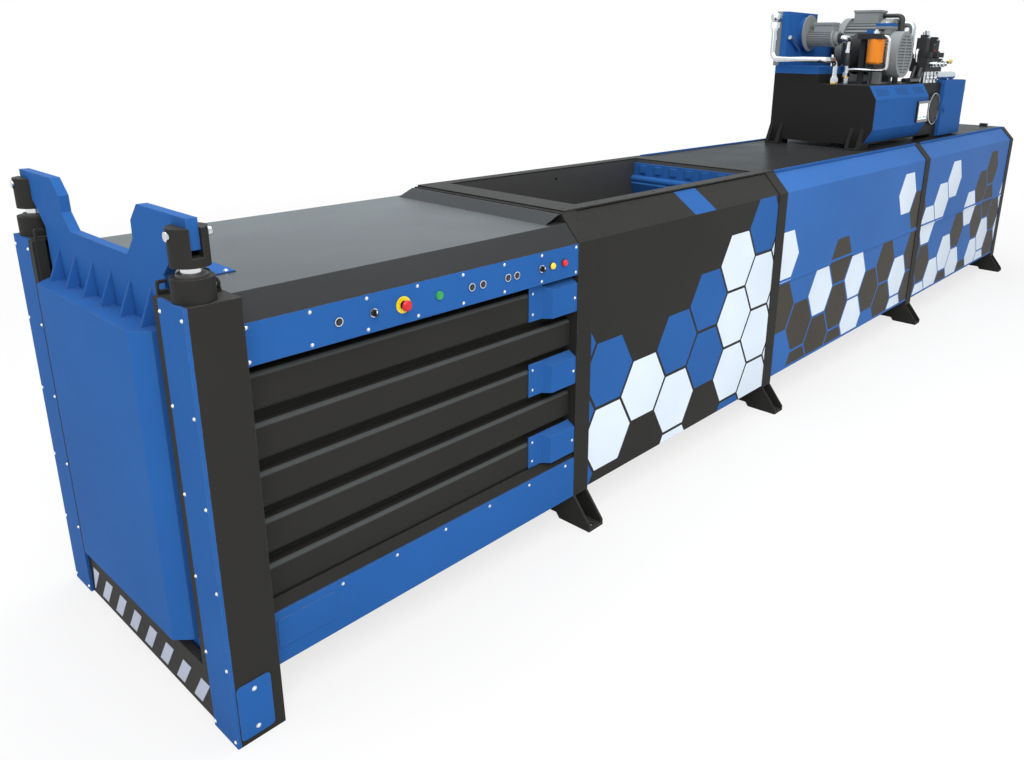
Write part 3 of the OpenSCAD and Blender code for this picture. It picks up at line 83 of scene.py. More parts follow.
class Tree:
    """Short calls that build a node tree. Values are numbers, colours or sockets."""

    def __init__(self, tree):
        self.tree = tree

    def put(self, socket, value):
        if isinstance(value, bpy.types.NodeSocket):
            self.tree.links.new(value, socket)
        else:
            if socket.type == "RGBA" and len(value) == 3:
                value = (*value, 1.0)
            socket.default_value = value

    def node(self, kind, inputs=None, **props):
        n = self.tree.nodes.new(kind)
        for key, value in props.items():
            setattr(n, key, value)
        for key, value in (inputs or {}).items():
            self.put(n.inputs[key], value)
        return n

    def math(self, op, a, b=0.0):
        return self.node("ShaderNodeMath", {0: a, 1: b}, operation=op).outputs[0]

    def times(self, first, *others):
        for value in others:
            first = self.math("MULTIPLY", first, value)
        return first

    def mix(self, factor, a, b):
        return self.node("ShaderNodeMix", {0: factor, 6: a, 7: b}, data_type="RGBA").outputs[2]

    def remap(self, value, lo, hi, out_lo=0.0, out_hi=1.0):
        inputs = {"Value": value, "From Min": lo, "From Max": hi}
        inputs |= {"To Min": out_lo, "To Max": out_hi}
        return self.node("ShaderNodeMapRange", inputs, clamp=True).outputs["Result"]

    def noise(self, vector, scale, detail=3.0, rough=0.5):
        inputs = {"Vector": vector, "Scale": scale, "Detail": detail, "Roughness": rough}
        return self.node("ShaderNodeTexNoise", inputs).outputs["Fac"]

    def stretched(self, vector, factors):
        n = self.node("ShaderNodeVectorMath", {0: vector, 1: factors}, operation="MULTIPLY")
        return n.outputs[0]

    def shaded(self, color, factor):
        n = self.node("ShaderNodeVectorMath", {0: color, "Scale": factor}, operation="SCALE")
        return n.outputs[0]

    def place(self):
        return self.node("ShaderNodeTexCoord").outputs["Object"]

    def geometry(self):
        return self.node("ShaderNodeNewGeometry").outputs

    def split(self, vector):
        return self.node("ShaderNodeSeparateXYZ", {0: vector}).outputs

    def soft_edge(self, radius):
        return self.node("ShaderNodeBevel", {"Radius": radius}, samples=4).outputs[0]

    def bump(self, strength, distance, height, **more):
        inputs = {"Strength": strength, "Distance": distance, "Height": height, **more}
        return self.node("ShaderNodeBump", inputs).outputs[0]

    def seen(self):
        """1 where a camera or a mirror looks straight at the surface."""
        path = self.node("ShaderNodeLightPath").outputs
        return self.math("MAXIMUM", path["Is Camera Ray"], path["Is Glossy Ray"])

    def use(self, shared, inputs):
        return self.node("ShaderNodeGroup", inputs, node_tree=shared).outputs

    def surface(self, color, roughness, normal):
        inputs = {"Base Color": color, "Roughness": roughness, "Normal": normal}
        shader = self.node("ShaderNodeBsdfPrincipled", inputs)
        out = self.node("ShaderNodeOutputMaterial")
        self.tree.links.new(shader.outputs[0], out.inputs["Surface"])
        return shader.inputs


def new_group(name, ins, outs):
    """A shader node group; returns it with its tree, input sockets and output sockets."""
    g = bpy.data.node_groups.new(name, "ShaderNodeTree")
    for label, kind, value in ins:
        socket = g.interface.new_socket(label, in_out="INPUT", socket_type="NodeSocket" + kind)
        socket.default_value = value
    for label, kind in outs:
        g.interface.new_socket(label, in_out="OUTPUT", socket_type="NodeSocket" + kind)
    t = Tree(g)
    return g, t, t.node("NodeGroupInput").outputs, t.node("NodeGroupOutput").inputs


def enamel_group():
    """Sprayed paint: slow shade drift, dust on upper faces, edges lightened both as wear and as a
    painted highlight, and faint orange peel.
    """
    g, t, i, o = new_group(
        "Enamel",
        [
            ("Color", "Color", (0.5, 0.5, 0.5, 1)),
            ("Dust", "Float", 0.1),
            ("Edge", "Float", 0.003),
            ("Rough", "Float", 0.4),
        ],
        [("Color", "Color"), ("Roughness", "Float"), ("Normal", "Vector")],
    )
    worn_and_highlight_edge = (0.42, 0.43, 0.44)
    dust_tone = (0.30, 0.29, 0.27)
    p = t.place()
    drift = t.noise(p, 1.4, 4.0)
    fine = t.noise(p, 38.0, 5.0, 0.65)
    peel = t.noise(p, 420.0, 2.0)
    geometry = t.geometry()
    bevel = t.soft_edge(i["Edge"])
    pair = {0: bevel, 1: geometry["True Normal"]}
    bend = t.node("ShaderNodeVectorMath", pair, operation="DOT_PRODUCT").outputs["Value"]
    # edges turn lighter grey: partly worn paint, partly a painted highlight along the edges
    rim = t.remap(bend, 0.995, 0.86, 0.0, 0.22)
    lit = t.shaded(i["Color"], t.remap(drift, 0.3, 0.7, 0.93, 1.07))
    worn_and_highlit = t.mix(t.times(rim, t.remap(fine, 0.3, 0.65)), lit, worn_and_highlight_edge)
    up = t.remap(t.split(geometry["Normal"])[2], 0.55, 1.0)
    dust = t.times(up, i["Dust"], t.remap(fine, 0.25, 0.75))
    t.put(o["Color"], t.mix(dust, worn_and_highlit, dust_tone))
    t.put(o["Roughness"], t.math("ADD", i["Rough"], t.remap(fine, 0.2, 0.8, -0.04, 0.08)))
    t.put(o["Normal"], t.bump(0.06, 0.001, peel, Normal=bevel))
    return g


def honeycomb_group():
    """Flat-topped hexagons over x and z: a mask inside the gaps, two random picks, cell centres."""
    g, t, i, o = new_group(
        "Honeycomb",
        [
            ("Radius", "Float", 0.195),
            ("Gap", "Float", 0.016),
            ("Seed", "Float", 0.0),
            ("Lift", "Float", 0.0),
        ],
        [(label, "Float") for label in ("Inside", "Pick", "Shade", "Cell X", "Cell Z")],
    )
    half_height = math.sqrt(0.75)  # of a hexagon with radius 1
    far_side_seed = 7.0
    px, py, pz = t.split(t.place())
    z = t.math("SUBTRACT", pz, i["Lift"])
    step_x = t.times(i["Radius"], 3.0)
    step_z = t.times(i["Radius"], math.sqrt(3))
    cells = []
    for shift in (0.0, 0.5):
        qx = t.math("ADD", t.math("DIVIDE", px, step_x), shift)
        qz = t.math("ADD", t.math("DIVIDE", z, step_z), shift)
        ix, iz = t.math("FLOOR", qx), t.math("FLOOR", qz)
        dx = t.times(t.math("SUBTRACT", t.math("SUBTRACT", qx, ix), 0.5), step_x)
        dz = t.times(t.math("SUBTRACT", t.math("SUBTRACT", qz, iz), 0.5), step_z)
        far = t.math("ADD", t.times(dx, dx), t.times(dz, dz))
        cells.append((dx, dz, far, t.math("SUBTRACT", ix, shift), t.math("SUBTRACT", iz, shift)))
    first = t.math("LESS_THAN", cells[0][2], cells[1][2])

    def chosen(k):
        inputs = {0: first, 2: cells[1][k], 3: cells[0][k]}
        return t.node("ShaderNodeMix", inputs, data_type="FLOAT").outputs[0]

    dx, dz = t.math("ABSOLUTE", chosen(0)), t.math("ABSOLUTE", chosen(1))
    ix, iz = chosen(3), chosen(4)
    slope = t.math("ADD", t.times(dx, half_height), t.times(dz, 0.5))
    reach = t.math("MAXIMUM", dz, slope)
    edge = t.math("SUBTRACT", t.times(i["Radius"], half_height), t.times(i["Gap"], 0.5))
    t.put(o["Inside"], t.math("LESS_THAN", reach, edge))
    t.put(o["Cell X"], t.times(t.math("ADD", ix, 0.5), step_x))
    t.put(o["Cell Z"], t.math("ADD", t.times(t.math("ADD", iz, 0.5), step_z), i["Lift"]))
    seed = t.math("ADD", i["Seed"], t.times(t.math("SIGN", py), far_side_seed))
    cell = t.node("ShaderNodeCombineXYZ", {0: ix, 1: iz, 2: seed}).outputs[0]
    dice = t.node("ShaderNodeTexWhiteNoise", {"Vector": cell}, noise_dimensions="3D").outputs
    t.put(o["Pick"], dice["Value"])
    t.put(o["Shade"], t.split(dice["Color"])[1])
    return g


def scratch_group():
    """Metal that was turned, drawn or scraped: streaks along one axis and a slow shade drift."""
    g, t, i, o = new_group(
        "Scratches",
        [
            ("Color", "Color", (0.6, 0.6, 0.6, 1)),
            ("Stretch", "Vector", (1, 1, 1)),
            ("Rough", "Float", 0.3),
        ],
        [("Color", "Color"), ("Roughness", "Float"), ("Height", "Float")],
    )
    p = t.place()
    streak = t.noise(t.stretched(p, i["Stretch"]), 160.0, 4.0, 0.7)
    drift = t.noise(p, 9.0, 4.0)
    streaked, drifted = t.remap(streak, 0.3, 0.7, 0.95, 1.02), t.remap(drift, 0.3, 0.7, -0.05, 0.03)
    t.put(o["Color"], t.shaded(i["Color"], t.math("ADD", streaked, drifted)))
    t.put(o["Roughness"], t.math("ADD", i["Rough"], t.remap(streak, 0.2, 0.8, -0.03, 0.06)))
    t.put(o["Height"], streak)
    return g


def moulded_group():
    """Plastic or rubber: fine grain and a little uneven sheen."""
    g, t, i, o = new_group(
        "Moulded",
        [("Color", "Color", (0.1, 0.1, 0.1, 1)), ("Rough", "Float", 0.4)],
        [("Color", "Color"), ("Roughness", "Float"), ("Normal", "Vector")],
    )
    p = t.place()
    grain = t.noise(p, 900.0, 2.0)
    cloud = t.noise(p, 24.0, 3.0)
    t.put(o["Color"], t.shaded(i["Color"], t.remap(cloud, 0.3, 0.7, 0.92, 1.08)))
    t.put(o["Roughness"], t.math("ADD", i["Rough"], t.remap(cloud, 0.2, 0.8, -0.05, 0.07)))
    t.put(o["Normal"], t.bump(0.12, 0.0004, grain))
    return g


ENAMEL = enamel_group()
HONEYCOMB = honeycomb_group()
SCRATCHES = scratch_group()
MOULDED = moulded_group()

BLACK = (0.029, 0.0285, 0.0263)
# lighter black for the painted highlight on the chamber beams' rounded upper edges
HIGHLIGHT_BLACK = (0.072, 0.08, 0.08)
DECK_BLACK = (0.028, 0.029, 0.030)
BLUE = (0.025, 0.115, 0.365)
PANEL_BLUE = (0.036, 0.142, 0.43)
WHITE = (0.74, 0.83, 0.93)
DARK_HEX = (0.062, 0.055, 0.045)
PAINT_SHINE = 0.03
PAINT_EDGE = 0.003  # radius of a painted edge in metres

MATERIALS = {}


def new_material(name):
    """Adds an empty material under its name and returns its tree."""
    m = bpy.data.materials.new(name)
    m.use_nodes = True
    m.node_tree.nodes.clear()
    MATERIALS[name] = m
    return Tree(m.node_tree)


def painted(t, color, dust, edge=PAINT_EDGE, rough=0.4, shine=PAINT_SHINE):
    """Enamel over a colour; returns the shader's inputs."""
    paint = t.use(ENAMEL, {"Color": color, "Dust": dust, "Edge": edge, "Rough": rough})
    shader = t.surface(paint["Color"], paint["Roughness"], paint["Normal"])
    shader["Specular IOR Level"].default_value = shine
    return shader


def enamel(name, color, rough, dust, edge=PAINT_EDGE, coat=0.0, shine=PAINT_SHINE):
    shader = painted(new_material(name), color, dust, edge, rough, shine)
    shader["Coat Weight"].default_value = coat
    shader["Coat Roughness"].default_value = 0.18


def metal(name, color, rough, stretch=(1, 1, 1), metallic=1.0, bump=0.05):
    t = new_material(name)
    s = t.use(SCRATCHES, {"Color": color, "Stretch": stretch, "Rough": rough})
    shader = t.surface(s["Color"], s["Roughness"], t.bump(bump, 0.0005, s["Height"]))
    shader["Metallic"].default_value = metallic


def moulded(name, color, rough, coat=0.0, glow=0.0):
    t = new_material(name)
    s = t.use(MOULDED, {"Color": color, "Rough": rough})
    shader = t.surface(s["Color"], s["Roughness"], s["Normal"])
    shader["Coat Weight"].default_value = coat
    if glow:
        t.put(shader["Emission Color"], s["Color"])
        shader["Emission Strength"].default_value = glow


def livery(name, ground, second, shares, line, ragged, seed, lift, border=0.0, band=False):
    """Painted panel with a rule-based honeycomb.

    Cells below a rising, ragged line between two points (x, z) are white or of the second colour,
    up to the two shares. The foot of the panel is plain up to the border, and a slanted blue band
    may cross the panel's sloped top.
    """
    t = new_material(name)
    h = t.use(HONEYCOMB, {"Seed": seed, "Lift": lift})
    px, _, pz = t.split(t.place())
    turned = t.math("ABSOLUTE", t.split(t.geometry()["True Normal"])[1])
    (x0, z0), (x1, z1) = line
    top = t.remap(h["Cell X"], x0, x1, z0, z1)
    top = t.math("ADD", top, t.times(t.math("SUBTRACT", h["Pick"], 0.5), ragged))
    shown = t.times(
        h["Inside"],
        t.math("LESS_THAN", h["Cell Z"], top),
        t.math("GREATER_THAN", turned, 0.95),
        t.math("GREATER_THAN", pz, border),
    )
    color = ground
    for tone, share in ((second, shares[1]), (WHITE, shares[0])):
        color = t.mix(t.times(shown, t.math("LESS_THAN", h["Shade"], share)), color, tone)
    if band:
        band_x, band_top, lean, half = 2.73 + FRONT_X / 1000, 1.509, 0.56, 0.1
        middle = t.math("ADD", t.times(t.math("SUBTRACT", band_top, pz), lean), band_x)
        near = t.math("LESS_THAN", t.math("ABSOLUTE", t.math("SUBTRACT", px, middle)), half)
        color = t.mix(t.times(near, t.math("LESS_THAN", turned, 0.9)), color, BLUE)
    painted(t, color, dust=0.1)


def beam(name):
    """Chamber beam: black paint with a painted highlight, a lighter grey on its rounded upper edge
    that faces the light above.
    """
    t = new_material(name)
    up = t.split(t.geometry()["Normal"])[2]
    above_ledge = t.math("GREATER_THAN", t.split(t.place())[2], BEAM_Z / 1000)
    # painted highlight: faces that look partly up, above the lowest beam's foot, turn lighter
    lit_edge = t.times(t.remap(up, 0.1, 0.4), t.remap(up, 0.98, 0.9), above_ledge)
    painted(t, t.mix(lit_edge, BLACK, HIGHLIGHT_BLACK), dust=0.0)


def deck(name, shine, gloss):
    """Walked-on plate: black paint with patches of sheen; level faces may carry a gloss coat."""
    t = new_material(name)
    paint = t.use(ENAMEL, {"Color": DECK_BLACK, "Dust": 0.0})
    sheen = t.remap(t.noise(t.place(), 2.2, 2.0), 0.3, 0.7, 0.24, 0.32)
    shader = t.surface(paint["Color"], sheen, t.soft_edge(PAINT_EDGE))
    shader["Specular IOR Level"].default_value = shine
    shader["Coat Roughness"].default_value = 0.27
    if gloss:
        up = t.split(t.geometry()["True Normal"])[2]
        t.put(shader["Coat Weight"], t.remap(up, 0.97, 0.995, 0.0, gloss))


def finned(name):
    """Cooler: bare metal with close upright fins between the tubes, with the gaps between the fins
    painted dark as their shade.
    """
    fin, gap_shade, per_metre = (0.30, 0.31, 0.32), (0.03, 0.03, 0.032), 160.0
    t = new_material(name)
    wave = t.math("PINGPONG", t.times(t.split(t.place())[0], per_metre), 1.0)
    paint = t.use(ENAMEL, {"Color": fin, "Dust": 0.2, "Edge": 0.001, "Rough": 0.4})
    # painted shade: dark stripes between the fins
    color = t.mix(t.remap(wave, 0.2, 0.8, 0.0, 0.7), paint["Color"], gap_shade)
    shader = t.surface(color, paint["Roughness"], t.bump(0.7, 0.004, wave))
    shader["Metallic"].default_value = 0.3


# Paints: colour, roughness, dust, edge radius.
enamel("black_paint", BLACK, 0.46, 0.10)
beam("beam_black")
enamel("blue_paint", BLUE, 0.38, 0.05, 0.004, shine=0.006)
livery(
    "livery_black", BLACK, BLUE, shares=(0.46, 0.84), line=((-2.4, 0.9), (-0.8, 1.14)),
    ragged=0.34, seed=3.0, lift=0.05, band=True,
)
livery(
    "livery_blue", PANEL_BLUE, DARK_HEX, shares=(0.48, 0.9), line=((-0.6, 0.92), (1.5, 1.08)),
    ragged=0.5, seed=11.0, lift=-0.03, border=0.215,
)
enamel("tank_black", (0.020, 0.020, 0.0195), 0.42, 0.05)
deck("deck_black", 0.006, 0.0)
deck("roof_gloss", 0.12, 0.33)
enamel("motor_grey", (0.25, 0.27, 0.275), 0.4, 0.14, 0.002)
enamel("pump_iron", (0.035, 0.036, 0.038), 0.45, 0.1, 0.002)
enamel("filter_orange", (0.80, 0.24, 0.015), 0.3, 0.05, 0.002, coat=0.4)
enamel("lid_black", (0.045, 0.047, 0.048), 0.4, 0.06)
enamel("stripe_white", (0.52, 0.56, 0.68), 0.45, 0.05)

# Metals: colour, roughness, stretch of the streaks.
metal("bright_steel", (0.64, 0.65, 0.66), 0.2, (1, 1, 4), bump=0.01)
metal("chrome_rod", (0.74, 0.75, 0.76), 0.19, (6, 6, 1), bump=0.004)
metal("worn_steel", (0.085, 0.083, 0.08), 0.5, (0.15, 1, 1), metallic=0.5, bump=0.12)
metal("zinc", (0.82, 0.83, 0.85), 0.28)
metal("brass", (0.72, 0.48, 0.16), 0.25)
finned("cooler_grey")

# Plastics: colour, roughness, coat, glow.
moulded("cable_black", (0.018, 0.018, 0.019), 0.5)
moulded("control_black", (0.016, 0.016, 0.018), 0.35)
moulded("control_green", (0.02, 0.33, 0.07), 0.25, 0.4)
moulded("control_red", (0.64, 0.006, 0.012), 0.45, 0.05)
moulded("control_yellow", (0.88, 0.68, 0.01), 0.3, 0.3)
moulded("lamp_lens", (0.9, 0.62, 0.01), 0.2, 0.6, 0.15)
moulded("lamp_red", (0.66, 0.006, 0.014), 0.4, 0.1, 0.15)
moulded("screen", (0.016, 0.017, 0.019), 0.2, 0.5)
moulded("screen_white", (0.85, 0.88, 0.9), 0.2, 0.5, 0.5)
moulded("screen_green", (0.05, 0.55, 0.25), 0.2, 0.5, 0.4)
moulded("screen_blue", (0.05, 0.2, 0.6), 0.2, 0.5, 0.4)

# Nodes whose finish is not the plain one of their slot.
OWN_FINISH = {
    "roof": "roof_gloss",
    "side_beams_left": "beam_black",
    "side_beams_right": "beam_black",
}
for part in frame["record"]["subparts"]:
    obj = nodes[part["node"]]
    obj.data.materials.clear()
    obj.data.materials.append(MATERIALS[OWN_FINISH.get(part["node"], part["material_slot"])])


def add(name, bm, material, body="frame", smooth=None):
    """Turns a bmesh into a piece that rides a body; faces are smooth up to an angle in degrees."""
    bmesh.ops.recalc_face_normals(bm, faces=bm.faces)
    mesh = bpy.data.meshes.new(name)
    bm.to_mesh(mesh)
    bm.free()
    obj = bpy.data.objects.new(name, mesh)
    scene.collection.objects.link(obj)
    mesh.materials.append(MATERIALS[material])
    if smooth:
        mesh.shade_smooth()
        mesh.set_sharp_from_angle(angle=math.radians(smooth))
    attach(obj, body)
    return obj


def ring_of(bm, centre, across, over, radius, count):
    """Points on a circle round a centre, from two unit vectors and a radius in mm."""
    turn = [2 * math.pi * k / count for k in range(count)]
    return [
        bm.verts.new(centre + (across * math.cos(w) + over * math.sin(w)) * (radius / 1000))
        for w in turn
    ]


def lathe(bm, origin, direction, profile, count):
    """Solid of revolution with a count of sides, from radius and height pairs in mm."""
    d = Vector(direction).normalized()
    across = d.orthogonal().normalized()
    over = d.cross(across)
    rings = []
    for r, h in profile:
        centre = origin + d * (h / 1000)
        if r == 0:
            rings.append([bm.verts.new(centre)])
        else:
            rings.append(ring_of(bm, centre, across, over, r, count))
    for low, high in zip(rings, rings[1:]):
        for k in range(count):
            n = (k + 1) % count
            quad = [low[k % len(low)], low[n % len(low)], high[n % len(high)], high[k % len(high)]]
            quad = list(dict.fromkeys(quad))
            if len(quad) > 2:
                bm.faces.new(quad)


def bolt(bm, origin, direction, size):
    """Dome head on a washer; size is the head's radius in mm."""
    s = size
    washer = [(0, 0), (s * 1.25, 0), (s * 1.25, s * 0.18)]
    head = [(s, s * 0.2), (s * 0.92, s * 0.55), (s * 0.6, s * 0.85), (0, s)]
    lathe(bm, origin, direction, washer + head, 12)


def hex_nut(bm, origin, direction, radius, height):
    """Six-sided nut with a short round collar; radius and height in mm."""
    flat, low, collar = height * 0.7, height * 0.6, radius * 0.8
    lathe(bm, origin, direction, [(0, 0), (radius, 0), (radius, flat), (0, flat)], 6)
    lathe(bm, origin, direction, [(0, low), (collar, low), (collar, height), (0, height)], 20)


def prism(bm, outline, direction, depth):
    """Closed outline of points pushed along a direction by a depth in mm."""
    move = Vector(direction).normalized() * (depth / 1000)
    low = [bm.verts.new(p) for p in outline]
    high = [bm.verts.new(p + move) for p in outline]
    bm.faces.new(low)
    bm.faces.new(reversed(high))
    for k in range(len(low)):
        n = (k + 1) % len(low)
        bm.faces.new((low[k], low[n], high[n], high[k]))


def brick(bm, x, y, z):
    """Box from pairs of stations."""
    corners = ((x[0], y[0]), (x[1], y[0]), (x[1], y[1]), (x[0], y[1]))
    prism(bm, [at(cx, cy, z[0]) for cx, cy in corners], UP, z[1] - z[0])


def tube(bm, points, radius, count=12):
    """Round tube along a smooth line through points, closed at both ends; radius in mm."""
    steps = 6
    path = []
    ext = [points[0] * 2 - points[1]] + points + [points[-1] * 2 - points[-2]]
    for k in range(1, len(ext) - 2):
        p0, p1, p2, p3 = ext[k - 1 : k + 3]
        bend = 2 * p0 - 5 * p1 + 4 * p2 - p3
        sway = 3 * p1 - p0 - 3 * p2 + p3
        for j in range(steps):
            u = j / steps
            path.append(0.5 * (2 * p1 + (p2 - p0) * u + bend * u * u + sway * u ** 3))
    path.append(points[-1])
    rings = []
    side = None
    for k, p in enumerate(path):
        d = (path[min(k + 1, len(path) - 1)] - path[max(k - 1, 0)]).normalized()
        side = d.orthogonal() if side is None else side - d * side.dot(d)
        side = side.normalized()
        rings.append(ring_of(bm, p, side, d.cross(side), radius, count))
    for low, high in zip(rings, rings[1:]):
        for k in range(count):
            n = (k + 1) % count
            bm.faces.new((low[k], low[n], high[n], high[k]))
    bm.faces.new(rings[0])
    bm.faces.new(reversed(rings[-1]))


def bolts_on_frame():
    """Zinc bolts of the strips, rails, covers and the roof's plate."""
    plain, small, large = 5.5, 5, 7  # head radius
    guide_y, guide_z = (543, 678), (1464, 1172, 880, 590, 304, 24)
    control_x, control_z = [214 + 218 * k for k in range(8)], (1377, 1266)
    rail_x, rail_z = [479 + 243 * k for k in range(6)], 340
    strap_cover_z = [392 + 346 * k for k in range(3)]
    foot_plate_z = (52, 200)
    roof_plate_x, roof_plate_y = (262, 328), (-288, -152)
    bm = bmesh.new()
    for side in (-1, 1):
        out = (0, side, 0)
        for z in guide_z:
            for y in guide_y:
                bolt(bm, at(0, side * y, z), FORWARD, plain)
        for x in control_x:
            for z in control_z:
                bolt(bm, at(x, side * STRIP_SIDE, z), out, plain)
        for x in rail_x:
            bolt(bm, at(x, side * STRIP_SIDE, rail_z), out, plain)
        for z in strap_cover_z:
            bolt(bm, at(1740, side * 606, z + 64), out, plain)
            for dz in (30, 122):
                bolt(bm, at(1510, side * 569, z + dz), out, small)
        for z in foot_plate_z:
            bolt(bm, at(73, side * 694, z), out, large)
    for x in roof_plate_x:
        for y in roof_plate_y:
            bolt(bm, at(x, y, RIB_TOP - 36), UP, large)
    add("strip_bolts", bm, "zinc", smooth=40)


def post_flanges_and_gap_shade():
    """Black plates beside the strips: the posts' inner flange at the top, carried down the whole
    height as painted shade of the gap beside the door, with a slotted hook on top of each post.
    """
    hook = [
        (14, 0), (46, 0), (46, 13), (24, 13), (21, 16), (21, 30),
        (24, 33), (46, 33), (46, 42), (19, 42), (14, 37),
    ]
    bm = bmesh.new()
    for side in (-1, 1):
        # black plate inward of each strip: the flange at the top, painted shade of the door gap below
        brick(bm, (1, 12), sorted((side * POST_IN, side * STRIP_IN)), (190, POST_TOP))
        outline = [at(x, side * POST_IN, POST_TOP + z) for x, z in hook]
        prism(bm, outline, (0, side, 0), 10)
    add("post_flanges_and_gap_shade", bm, "black_paint")


def panel_lips():
    """Folded top edges of the rear panels along both sides of the deck."""
    lip_in, lip_out, lip_z = 500.5, 506.5, (1503, 1520)
    bm = bmesh.new()
    for x0, x1 in zip(RIB_X[1:], RIB_X[2:]):
        for side in (-1, 1):
            brick(bm, (x0 + RIB_D, x1), sorted((side * lip_in, side * lip_out)), lip_z)
    add("panel_lips", bm, "blue_paint")


def sill_stripes():
    """Slanted pale bars along the foot of the sill."""
    face_x, low, high, end_y, pitch = 12, 22, 131, 514, 133.3
    bm = bmesh.new()
    for k in range(8):
        y = 492 - k * pitch
        foot = [at(face_x, min(y + dy, end_y), low) for dy in (76, 15)]
        head = [at(face_x, y + dy, high) for dy in (-61, 0)]
        prism(bm, foot + head, FORWARD, 0.6)
    add("sill_stripes", bm, "stripe_white")


def lamps():
    """Pilot lamps in two colours with dark bezels."""
    lens = [(0, 1), (14, 1), (14.6, 3), (14, 9), (11, 13), (6, 15), (0, 15.6)]
    bezel = [(14.2, 0), (16.5, 0), (16.5, 3), (15.6, 4.5), (14.2, 4.5), (14.2, 0)]
    spots = [at(x, -STRIP_SIDE, CONTROL_Z) for x in LAMP_X]
    for spot, name, material in zip(spots, ("lamp_yellow", "lamp_red"), ("lamp_lens", "lamp_red")):
        bm = bmesh.new()
        lathe(bm, spot, NEAR, lens, 28)
        add(name, bm, material, smooth=50)
    bm = bmesh.new()
    for spot in spots:
        lathe(bm, spot, NEAR, bezel, 28)
    add("lamp_rings", bm, "control_black", smooth=40)
    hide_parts("pilot_lamps")


def bezel_rims():
    """Bright rims round the buttons and selectors, and a green collar round the start button."""
    rim = [
        (15.05, 0.2), (16.8, 0.2), (16.8, 5), (15.8, 7.2),
        (13, 7.2), (13, 6.05), (15.05, 6.05), (15.05, 0.2),
    ]
    collar = [
        (15.05, 0.2), (17, 0.2), (17, 5), (15.5, 8),
        (9.2, 8), (9.2, 6.05), (15.05, 6.05), (15.05, 0.2),
    ]
    for name, material, shares, profile in (
        ("bezel_rims", "chrome_rod", DARK_BUTTONS + SELECTORS, rim),
        ("green_collar", "control_green", (GREEN_BUTTON,), collar),
    ):
        bm = bmesh.new()
        for share in shares:
            spot = at(STRIP_X + share * STRIP_L, -STRIP_SIDE, CONTROL_Z)
            lathe(bm, spot, NEAR, profile, 32)
        add(name, bm, material, smooth=35)


def screen():
    """Pale screen with plain blocks inside the display frame."""
    glass_y, row_z = -460.2, (1706, 1722)
    for name, material, starts, width, y, z, depth in (
        ("screen_glass", "screen_white", (6204,), 216, glass_y, (1696, 1824), 1),
        ("screen_keys", "screen_green", (6222, 6262), 26, glass_y - 1, row_z, 0.4),
        ("screen_marks", "screen_blue", (6330, 6372), 30, glass_y - 1, row_z, 0.4),
    ):
        bm = bmesh.new()
        for x in starts:
            corners = ((x, z[0]), (x + width, z[0]), (x + width, z[1]), (x, z[1]))
            prism(bm, [at(cx, y, cz) for cx, cz in corners], NEAR, depth)
        add(name, bm, material)


def selector_marks():
    """White lines on the grips of the selectors."""
    half, face = 1.4, -STRIP_SIDE - 23.9
    for k, x in enumerate(SELECTOR_MARK_X, 1):
        bm = bmesh.new()
        brick(bm, (x - half, x + half), (face - 0.6, face), (CONTROL_Z + 2, CONTROL_Z + 10.5))
        add(f"selector_mark_{k}", bm, "screen_white", body=f"selector_{k}")


def pipe_fittings():
    """Nuts, sleeve and collars on the pipes, gland rings and the bar on the cooler's shroud."""
    bm = bmesh.new()
    for x, y, z in ((*COOL_FOOT, TANK_TOP), (*FAN_PIPE, TANK_TOP + 40)):
        lathe(bm, at(x, y, z), UP, [(0, 0), (35, 0), (35, 10), (32, 13), (0, 13)], 20)
    add("brass_nuts", bm, "brass", smooth=35)

    bm = bmesh.new()
    hex_nut(bm, at(5258, 392, 2428), DOWN, 36, 60)
    hex_nut(bm, at(*COOL_FOOT, TANK_TOP + 13), UP, 34, 46)
    hex_nut(bm, at(*FAN_PIPE, TANK_TOP + 53), UP, 33, 40)
    hex_nut(bm, at(*FAN_PIPE, TANK_TOP + 232), UP, 30, 30)
    lathe(bm, at(5320, 392, 2464), FORWARD, [(0, 0), (32, 0), (32, 18), (0, 18)], 6)
    for y in (-163, -73):
        hex_nut(bm, at(6660, y, TANK_TOP + 200), UP, 42, 46)
    lid_ring = [(128.5, 0), (133.5, 0), (133.5, 4), (131.5, 5.5), (128.5, 5.5), (128.5, 0)]
    lathe(bm, at(6755, -401, 1762.5), NEAR, lid_ring, 48)
    add("bright_fittings", bm, "chrome_rod", smooth=35)

    gland = [(30.5, 0), (44, 0), (44, 5), (40, 9), (30.5, 9), (30.5, 0)]
    bm = bmesh.new()
    for side in (-1, 1):
        lathe(bm, at(65.5, side * 625, 1572), UP, gland, 32)
    add("gland_rings", bm, "worn_steel", smooth=35)

    bar = ((5338, 2320), (5392, 2302), (5450, 2268), (5512, 2236))
    bm = bmesh.new()
    tube(bm, [at(x, 300, z) for x, z in bar], 16)
    for x, z in ((5350, 2316), (5500, 2242)):
        lathe(bm, at(x, 322, z), NEAR, [(0, 0), (9, 0), (9, 22), (0, 22)], 12)
    add("shroud_bar", bm, "bright_steel", smooth=40)

    sleeve = [(0, 0), (25, 0), (27, 4), (27, 96), (25, 100), (0, 100)]
    plug = [(0, 0), (11, 0), (11, 12), (7, 16), (7, 26), (0, 26)]
    bm = bmesh.new()
    lathe(bm, at(*FAN_PIPE, TANK_TOP + 132), UP, sleeve, 20)
    for x in (7330, 7420):
        lathe(bm, at(x, -250, TANK_TOP + 20), UP, plug, 12)
    add("black_sleeves", bm, "cable_black", smooth=35)


